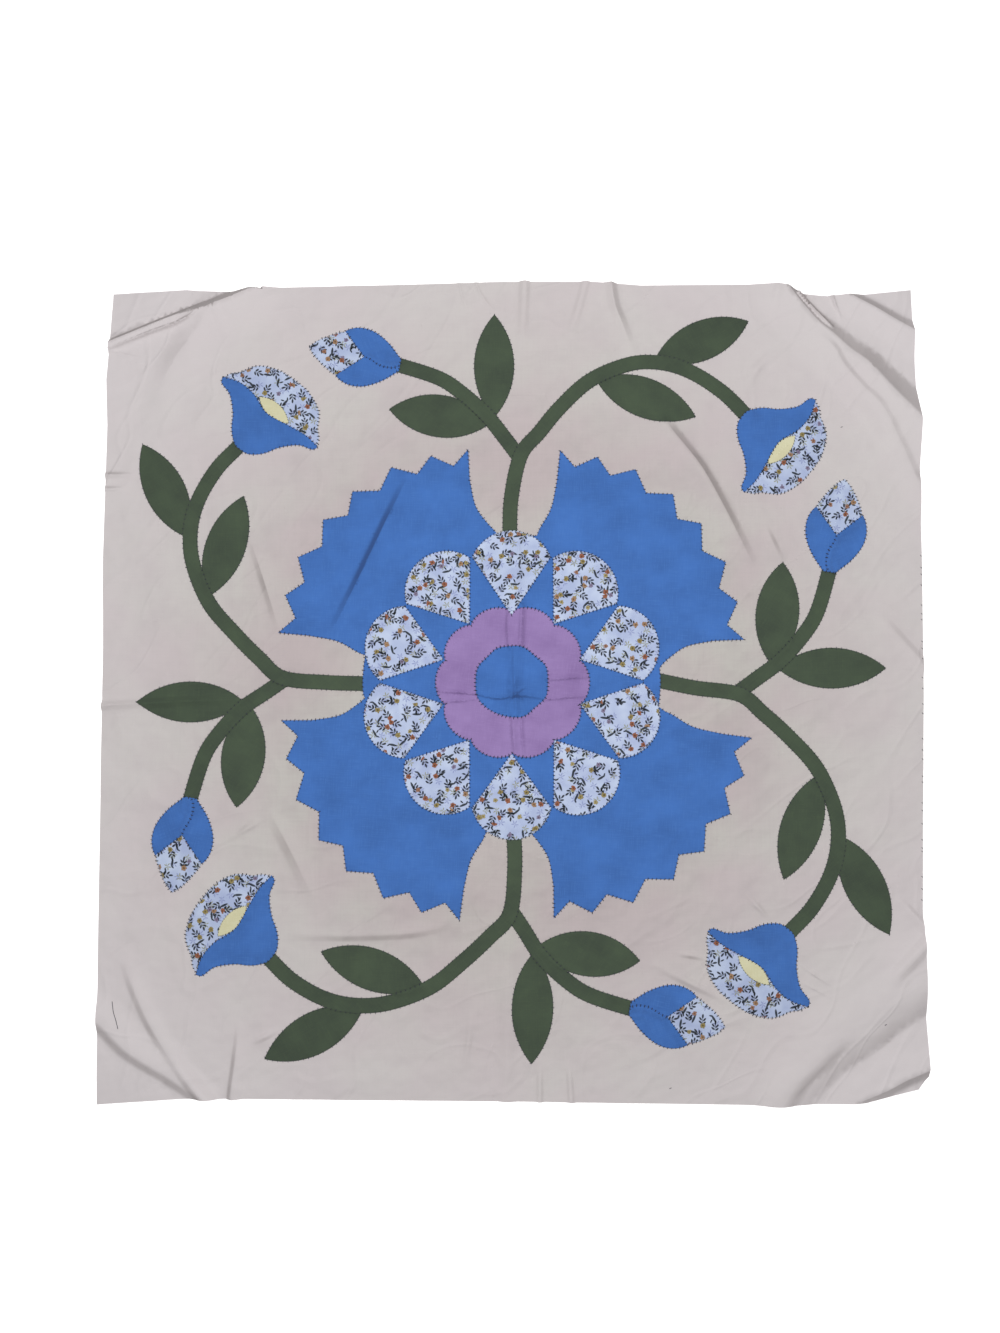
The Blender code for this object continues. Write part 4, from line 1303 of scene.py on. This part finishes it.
@dataclass
class Medallion:
    """The middle flower: a saw-edged blue base, ten printed petals and a scalloped lavender ring."""

    petals: int = 10
    petal_tip: float = 76.0
    lapping_tip: float = 70.5
    shoulder: float = 138.6
    shoulder_angle: float = 17.3
    cap_rises: tuple[float, ...] = (28.0, 28.5, 28.0, 28.5, 29.0, 33.0, 30.0, 29.5, 29.0, 28.5)
    ring_notch: float = 73.8
    ring_lobe: float = 81.2
    ring_shift: Point = (1.0, -0.6)
    hole: Rows = ((0, 38.4), (24, 39.8), (48, 37.0), (72, 38.8), (96, 37.8), (114, 38.6), (132, 36.8),
                  (156, 38.8), (180, 38.2), (204, 39.6), (228, 38.0), (258, 37.0), (288, 38.8), (312, 36.8),
                  (336, 39.6))
    ring_steps: int = 24
    hole_steps: int = 14
    cap_steps: int = 28
    side_steps: int = 5
    disc_steps: int = 12
    disc_radius: float = 157.0
    tooth_depth: float = 16.0
    teeth: Rows = ((255, 77.7), (259, 68.7), (264, 59.4), (265, 49.0), (264, 39.6), (261, 29.0), (254, 19.3),
                   (250, 10.1))
    first_side: Rows = ((28.3, 157.5), (32.0, 166.0), (43.9, 187.0), (50.6, 217.0))
    last_side: Rows = ((213.0, 43.0), (185.0, 37.5), (167.0, 26.0), (158.5, 18.5))
    petal_grains: tuple[float, ...] = (4.0, 38.0, 71.0, 112.0, 150.0, 183.0, 214.0, 251.0, 288.0, 326.0)

    def petal_outline(self, index: int, tip: float) -> list[Point]:
        """One petal: a point inwards, two straight sides and a domed cap."""
        middle = 90 + index * 360 / self.petals
        first = polar(self.shoulder, middle + self.shoulder_angle)
        last = polar(self.shoulder, middle - self.shoulder_angle)
        return [polar(tip, middle), *arc(first, last, self.cap_rises[index], self.cap_steps), last]

    def ring_outline(self) -> list[Point]:
        """The scalloped edge."""
        points = []
        for i in range(self.petals * self.ring_steps):
            angle = 360 * i / (self.petals * self.ring_steps)
            lobe = abs(math.sin(math.radians(angle * self.petals / 2)))
            x, y = polar(self.ring_notch + (self.ring_lobe - self.ring_notch) * lobe**0.6, 90 + angle)
            points.append((x + self.ring_shift[0], y + self.ring_shift[1]))
        return points

    def hole_outline(self) -> list[Point]:
        """The unevenly waved hole, through a few radii."""
        points = [polar(radius, angle) for angle, radius in self.hole]
        line = smooth_line([points[-1], *points, points[0], points[1]], self.hole_steps)
        return [tuple(p) for p in line[self.hole_steps:-self.hole_steps]][:-1]

    def arm_outline(self, side: "Side") -> list[Point]:
        """One blue arm, clockwise: up its first side, along its teeth and down its last side."""
        points = [tuple(p) for p in smooth_line(self.first_side, self.side_steps)]
        for tooth, after in zip(self.teeth, self.teeth[1:]):
            valley = (tooth[0] + after[0]) / 2 - self.tooth_depth
            points += [polar(*tooth), polar(valley, (tooth[1] + after[1]) / 2)]
        points.append(polar(*self.teeth[-1]))
        points += [tuple(p) for p in smooth_line(self.last_side, self.side_steps)]
        return [side.arm_point(point) for point in points]

    def base_outline(self) -> list[Point]:
        """The four arms, joined by the stretches of disc between them."""
        outline = []
        arms = [self.arm_outline(side) for side in SIDES]
        for arm, after in zip(arms, arms[1:] + arms[:1]):
            outline += arm
            first = math.degrees(math.atan2(arm[-1][1], arm[-1][0]))
            last = math.degrees(math.atan2(after[0][1], after[0][0]))
            step = (first - last) % 360 / (self.disc_steps + 1)
            outline += [polar(self.disc_radius, first - step * (i + 1)) for i in range(self.disc_steps)]
        return outline

    def patches(self, stems: list[Patch]) -> list[Patch]:
        """The medallion's pieces, from the lowest up, over the ends of the stems."""
        base = Patch("base_cloth", "blue_base", np.array(self.base_outline()), BLUE, list(stems), spacing=4.2,
                     grain=3.0, stitch=Stitch(4.4, 1.2, 1.1, 0.42))
        made = [base]
        for i in range(1, self.petals):
            made.append(self.petal(i, self.petal_tip, [base]))
        made.append(Patch("ring_cloth", "ring", np.array(self.ring_outline()), LAVENDER, made[:], spacing=2.6,
                          hole=np.array(self.hole_outline()), grain=8.0, rim=Rim(0.9, 4.6, 0.25, 0.5, 0.9),
                          stitch=Stitch(4.1, 1.5, 1.3, 0.44)))
        made.append(self.petal(0, self.lapping_tip, made[:]))
        return made

    def petal(self, index: int, tip: float, beneath: list[Patch]) -> Patch:
        """One petal's cloth, whose inner point reaches this radius."""
        return Patch(f"petal_cloth_{index + 1:02d}", f"petal_{index + 1:02d}",
                     np.array(self.petal_outline(index, tip)), PRINT, beneath, spacing=2.8,
                     grain=self.petal_grains[index], cut_from=(61.0 * index, 37.0 * (index % 3)),
                     rim=Rim(0.9, 4.2, 0.25, 0.5, 0.95), stitch=Stitch(4.0, 1.1, 1.3, 0.42))


# The vines


@dataclass(frozen=True)
class Side:
    """One side of the quilt, and how its vine and its blue arm stray from the pattern.

    The vine is turned, scaled and shifted, leans sideways round its fork and bows along its long stem. The
    blue arm is turned and shifted. Turns are in degrees and moves in millimetres.
    """

    name: str
    quarters: int
    turn: float
    scale: float
    shift_x: float
    shift_y: float
    lean: float
    bow: float
    blue_turn: float
    blue_x: float
    blue_y: float
    LEAN_SPAN = (160.0, 330.0)
    LEAN_WIDTH = (-60.0, 90.0)
    BOW_SPAN = (0.0, 260.0)

    def vine_point(self, point: Point) -> Point:
        """A point of the pattern vine, moved as this side's vine strays and turned to its side."""
        x, y = turned(point, self.turn)
        lean = self.lean * swell(math.hypot(*point), self.LEAN_SPAN) * swell(point[0], self.LEAN_WIDTH)
        x = x * self.scale + self.shift_x + lean
        y = y * self.scale + self.shift_y + self.bow * swell(point[0], self.BOW_SPAN)
        return turned((x, y), -90 * self.quarters)

    def arm_point(self, point: Point) -> Point:
        """The same for a point of a blue arm."""
        x, y = turned(point, self.blue_turn)
        return turned((x + self.blue_x, y + self.blue_y), -90 * self.quarters)


SIDES = (
    Side("top", 0, -0.75, 0.990, -5.0, 3.2, 7.0, 4.0, 0.7, 0.7, -2.3),
    Side("right", 1, 0.37, 1.008, 6.7, -3.1, 3.0, 0.0, -1.1, -0.1, 4.8),
    Side("bottom", 2, -0.30, 1.003, -3.9, -0.6, -1.0, -5.0, -1.0, -4.2, 1.2),
    Side("left", 3, 0.56, 0.996, 1.2, 1.2, 0.0, -1.5, 1.4, 3.5, -3.7),
)


@dataclass(frozen=True)
class Leaf:
    """One leaf of the pattern vine: its base, its tip and its width."""

    name: str
    base: Point
    tip: Point
    width: float


@dataclass
class Vine:
    """One side's vine: two stems, four leaves, a bell flower and a bud."""

    side: Side
    stem_width: float = 15.6
    stem_root: Point = (-2.0, 152.0)
    long_stem: Rows = ((0.0, 195.0), (5.4, 241.5), (26.0, 266.0), (53.0, 293.0), (86.0, 321.0),
                       (128.0, 338.5), (163.0, 341.0), (196.0, 332.5), (229.0, 313.0), (252.0, 291.0),
                       (262.0, 281.0))
    short_stem: Rows = ((6.0, 236.0), (-9.8, 259.0), (-26.8, 284.0), (-52.0, 308.0), (-77.5, 324.5),
                        (-119.9, 338.0), (-134.0, 341.0))
    leaves: tuple[Leaf, ...] = (
        Leaf("upright", (-20.0, 281.5), (-18.5, 395.5), 43.0),
        Leaf("low", (-23.0, 276.0), (-130.9, 289.7), 46.0),
        Leaf("outer", (155.5, 343.5), (257.4, 391.7), 43.0),
        Leaf("inner", (92.0, 322.5), (200.5, 283.9), 43.0),
    )
    bell_middle: Point = (291.4, 255.0)
    bell_heading: float = -37.0
    cup_side: Rows = ((0, 64), (-6, 61), (-10, 48), (-17, 39), (-27, 30), (-37, 24), (-45, 17), (-51, 8),
                      (-52, 0))
    cup_mouth: Rows = ((64, 0), (46, 6), (26, 5), (5, -3), (-10, -3), (-27, 0), (-46, 2), (-64, 0))
    lens_ends: tuple[Point, Point] = ((19.0, 6.0), (-24.0, 1.4))
    lens_rise: float = 8.0
    back_side: Rows = ((0, 62.5), (8, 59), (15, 52), (23, 47.5), (31, 41.5), (37, 32), (42, 17), (43, 0))
    back_under: Rows = ((-8, 30), (-8, -30))
    bud_base: Point = (-119.9, 338.0)
    bud_heading: float = 169.2
    bud_side: Rows = ((0, 6.5), (5, 11), (15, 20), (27, 27.5), (38, 31.5), (50, 32.0), (60, 29), (66, 25))
    bud_seam: Rows = ((40, -1), (32.5, 0.5), (23.6, 4), (14.9, 5.5), (6.7, 4.9), (0, 1))
    seam_lap: float = 5.0
    tip_side: Rows = ((58, 26.5), (71, 22.5), (85, 14.3), (94, 7.5))
    tip_root: Point = (30.0, 0.0)
    tip_length: float = 100.5
    stem_steps: int = 8
    leaf_steps: int = 26
    lens_steps: int = 16

    def mapped(self, points: Iterable[Point]) -> np.ndarray:
        """Pattern points on this side of the quilt."""
        return np.array([self.side.vine_point(tuple(p)) for p in points])

    def name(self, piece: str) -> str:
        """A piece's name on this side."""
        return f"{piece}_cloth_{self.side.name}"

    def node(self, piece: str) -> str:
        """The name of the node that a piece stands for."""
        return f"{piece}_{self.side.name}"

    def stem_outlines(self) -> tuple[np.ndarray, np.ndarray]:
        """The long stem's strip and the short one's."""
        root = turned(self.stem_root, -90 * self.side.quarters)
        long_line = smooth_line([root, *map(tuple, self.mapped(self.long_stem))], self.stem_steps)
        short_line = smooth_line([tuple(p) for p in self.mapped(self.short_stem)], self.stem_steps)
        return ribbon(long_line, self.stem_width), ribbon(short_line, self.stem_width)

    def bell(self, rows: Rows) -> np.ndarray:
        """Points ahead of and across the line between the bell's two points."""
        return self.mapped(framed(self.bell_middle, self.bell_heading, *row) for row in rows)

    def bud(self, rows: Rows) -> np.ndarray:
        """Points along the bud from its base, and across it to the left."""
        return self.mapped(framed(self.bud_base, self.bud_heading, *row) for row in rows)

    def bell_outlines(self) -> tuple[np.ndarray, np.ndarray, np.ndarray]:
        """The bell's back petal, its yellow centre and its blue cup."""
        left = smooth_line(self.cup_side, 5)
        right = smooth_line([(a, -w) for a, w in reversed(self.cup_side)], 5)
        mouth = smooth_line([(a, w) for w, a in reversed(self.cup_mouth)], 5)
        cup = self.bell([*map(tuple, left), *map(tuple, right[1:]), *map(tuple, mouth[1:-1])])
        back_left = smooth_line(self.back_side, 4)
        back_right = smooth_line([(a, -w) for a, w in reversed(self.back_side)], 4)
        back = self.bell([*self.back_under[:1], *map(tuple, back_left), *map(tuple, back_right[1:]),
                          *self.back_under[1:]])
        first, last = (tuple(p) for p in self.bell([(a, w) for w, a in self.lens_ends]))
        near, far = (arc(*ends, self.lens_rise, self.lens_steps) for ends in ((first, last), (last, first)))
        return back, np.array(near + far), cup

    def bud_outlines(self) -> tuple[np.ndarray, np.ndarray, np.ndarray]:
        """The bud's printed tip, its under sepal and the sepal that laps over it."""
        seam = smooth_line(self.bud_seam, 4)
        right = smooth_line([(a, -w) for a, w in self.bud_side], 5)
        left = smooth_line(list(reversed(self.bud_side)), 5)
        over = self.bud([*map(tuple, right), *map(tuple, seam)])
        lapped = [(a, w - self.seam_lap * min(1.0, (self.bud_seam[0][0] - a) / 8)) for a, w in seam[::-1]]
        under = self.bud([*lapped, *map(tuple, left)])
        tip = self.bud([self.tip_root, *[(a, -w) for a, w in self.tip_side], (self.tip_length, 0.0),
                        *reversed(self.tip_side)])
        return tip, under, over

    def leaf_patches(self) -> list[Patch]:
        """The four leaves."""
        made = []
        for i, leaf in enumerate(self.leaves):
            piece = f"leaf_{leaf.name}"
            base, tip = (tuple(p) for p in self.mapped([leaf.base, leaf.tip]))
            edges = (arc(*ends, leaf.width / 2, self.leaf_steps) for ends in ((base, tip), (tip, base)))
            made.append(Patch(self.name(piece), self.node(piece), np.concatenate(list(edges)), GREEN,
                              spacing=3.0, grain=31.0 * i, cut_from=(70.0 * i, 40.0 * self.side.quarters),
                              rim=Rim(0.9, 4.6, 0.28, 0.2, 0.3), stitch=Stitch(5.4, 1.3, 0.8, 0.36)))
        return made

    def patches(self) -> tuple[list[Patch], Patch]:
        """The vine's pieces.

        Returns:
            The pieces from the lowest up, and the long stem among them.
        """
        leaves = self.leaf_patches()
        long_line, short_line = self.stem_outlines()
        green_rim, green_stitch = Rim(0.9, 3.4, 0.2, 0.2, 0.22), Stitch(5.2, 1.2, 0.8, 0.36)
        shift = 90.0 * self.side.quarters
        short = Patch(self.name("stem_short"), self.node("stem_short"), short_line, GREEN, leaves[:2],
                      spacing=3.0, grain=45.0, cut_from=(shift, 10.0), rim=green_rim, stitch=green_stitch)
        long = Patch(self.name("stem_long"), self.node("stem_long"), long_line, GREEN, [*leaves, short],
                     spacing=3.0, grain=45.0, cut_from=(shift, 80.0), rim=green_rim, stitch=green_stitch)
        back, lens, cup = self.bell_outlines()
        print_rim, print_stitch = Rim(0.8, 3.8, 0.22, 0.45, 0.8), Stitch(4.0, 1.3, 1.3, 0.46)
        blue_rim, blue_stitch = Rim(0.9, 4.4, 0.25, 0.25, 0.35), Stitch(4.2, 1.2, 1.1, 0.42)
        back = Patch(self.name("bell_back"), self.node("bell_back"), back, PRINT, spacing=2.6,
                     grain=55.0 + shift, cut_from=(shift, 140.0), rim=print_rim, stitch=print_stitch)
        lens = Patch(self.name("bell_centre"), self.node("bell_centre"), lens, YELLOW, [back],
                     spacing=2.4, cut_from=(shift, 0.0), rim=Rim(0.7, 3.4, 0.2, 0.1, 0.1),
                     stitch=Stitch(3.0, 0.7, 0.6, 0.24))
        cup = Patch(self.name("bell_cup"), self.node("bell_cup"), cup, BLUE, [long, back, lens], spacing=2.8,
                    grain=shift, cut_from=(shift, 30.0), rim=blue_rim, stitch=blue_stitch)
        tip, under, over = self.bud_outlines()
        tip = Patch(self.name("bud_tip"), self.node("bud_tip"), tip, PRINT, spacing=2.6, grain=20.0 - shift,
                    cut_from=(shift, 210.0), rim=print_rim, stitch=print_stitch)
        under = Patch(self.name("bud_under"), self.node("bud_cup"), under, BLUE, [short, tip], spacing=2.8,
                      grain=12.0, cut_from=(shift, 60.0), rim=blue_rim, stitch=blue_stitch)
        over = Patch(self.name("bud_over"), self.node("bud_cup"), over, BLUE, [short, tip, under],
                     spacing=2.8, grain=70.0, cut_from=(shift, 90.0), rim=blue_rim, stitch=blue_stitch)
        return [*leaves, short, long, back, lens, cup, tip, under, over], long


# The studio


@dataclass
class Studio:
    """A pale floor, a lamp over the middle with soft light all round, and the camera over the cloth."""

    lens: float = 26.0
    sensor: float = 36.0
    distance: float = EYE_HEIGHT
    tilt: float = 2.76
    aim: Point = (-12.2, 16.2)
    floor_size: float = 4.0
    floor_drop: float = 0.0006
    floor_colour: str = "#F7F7F7"
    floor_drift: str = "#FAFAFA"
    glow_colour: str = "#FFFFFF"
    floor_glow: float = 0.6
    daylight: float = 0.26
    lamp_place: tuple[float, float, float] = (0.0, 0.14, 1.25)
    lamp_size: float = 0.45
    lamp_watts: float = 11.3
    lamp_tint: str = "#FFFDFC"

    def floor(self) -> None:
        """The surface that the cloth lies on."""
        bm = bmesh.new()
        bmesh.ops.create_grid(bm, x_segments=8, y_segments=8, size=self.floor_size)
        bmesh.ops.translate(bm, verts=bm.verts[:], vec=Vector((0.0, 0.0, -self.floor_drop)))
        mesh = bpy.data.meshes.new("studio_floor")
        bm.to_mesh(mesh)
        bm.free()
        p = Palette("studio_paper", Grain.OBJECT)
        tint = p.mix(p.noise(400.0, 400.0), colour(self.floor_colour), colour(self.floor_drift))
        p.shader.inputs["Emission Color"].default_value = colour(self.glow_colour)
        p.shader.inputs["Emission Strength"].default_value = self.floor_glow
        mesh.materials.append(p.finished(tint, 0.95, 0.0))
        obj = bpy.data.objects.new("studio_floor", mesh)
        bpy.context.scene.collection.objects.link(obj)

    def area(self, name: str, place: Sequence[float], size: float, watts: float, tint: str) -> None:
        """A soft square light that looks at the cloth's middle."""
        light = bpy.data.lights.new(name, "AREA")
        light.shape, light.size, light.energy = "SQUARE", size, watts
        light.color = colour(tint)[:3]
        obj = bpy.data.objects.new(name, light)
        obj.location = place
        obj.rotation_mode = "QUATERNION"
        obj.rotation_quaternion = (-Vector(place)).to_track_quat("-Z", "Y")
        bpy.context.scene.collection.objects.link(obj)

    def lights(self) -> None:
        """Even daylight and one soft lamp low over the middle, which leaves each fold's outer side darker."""
        world = bpy.data.worlds.new("daylight")
        world.use_nodes = True
        world.node_tree.nodes["Background"].inputs["Color"].default_value = (1.0, 1.0, 1.0, 1.0)
        world.node_tree.nodes["Background"].inputs["Strength"].default_value = self.daylight
        bpy.context.scene.world = world
        self.area("overhead", self.lamp_place, self.lamp_size, self.lamp_watts, self.lamp_tint)

    def camera(self, middle: Vector) -> None:
        """Looks almost straight down from over the near half of the cloth."""
        data = bpy.data.cameras.new("camera")
        data.lens, data.sensor_width, data.sensor_fit = self.lens, self.sensor, "AUTO"
        obj = bpy.data.objects.new("camera", data)
        tilt = math.radians(self.tilt)
        aim = Vector((middle.x + self.aim[0] * MM, middle.y + self.aim[1] * MM, 0.0))
        obj.location = aim + Vector((0.0, -math.sin(tilt), math.cos(tilt))) * self.distance * MM
        obj.rotation_euler = (tilt, 0.0, 0.0)
        bpy.context.scene.collection.objects.link(obj)
        bpy.context.scene.camera = obj

    def build(self, middle: Vector) -> None:
        """Sets up the floor, the lights and the camera."""
        self.floor()
        self.lights()
        self.camera(middle)
        bpy.context.scene.view_settings.view_transform = "Standard"


@dataclass
class QuiltTop:
    """The whole object: the ground, the medallion, the vines and the stitches that hold them."""

    muslin: Muslin = field(default_factory=Muslin)
    medallion: Medallion = field(default_factory=Medallion)
    loose: LooseThreads = field(default_factory=LooseThreads)

    def build(self) -> Table:
        """Cuts and sews every piece, from the ground up."""
        table = Table()
        rng = np.random.default_rng(SEED)
        ground = self.muslin.build(table)
        vines = [Vine(side).patches() for side in SIDES]
        sewn = [patch for made, _ in vines for patch in made]
        middle = self.medallion.patches([stem for _, stem in vines])
        for patch in (*sewn, *middle):
            patch.build(self.muslin, table)
        groups = {f"stitches_{side.name}": made for side, (made, _) in zip(SIDES, vines)}
        groups["stitches_middle"] = middle
        for name, patches in groups.items():
            paths, radii = zip(*(patch.stitches(self.muslin, rng) for patch in patches))
            table.threads(name, np.concatenate(paths), np.concatenate(radii))
        loose = self.loose.paths(self.muslin, rng)
        table.threads("loose_threads", loose, np.full(len(loose), self.loose.radius))
        return table


def main() -> None:
    """Builds the quilt top and the studio."""
    logging.basicConfig(level=logging.INFO, format="%(name)s: %(message)s")
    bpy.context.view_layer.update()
    table = QuiltTop().build()
    Studio().build(table.middle)
    bpy.context.view_layer.update()
    LOG.info("%d pieces", len(table.pieces))


if __name__ == "__main__":
    main()
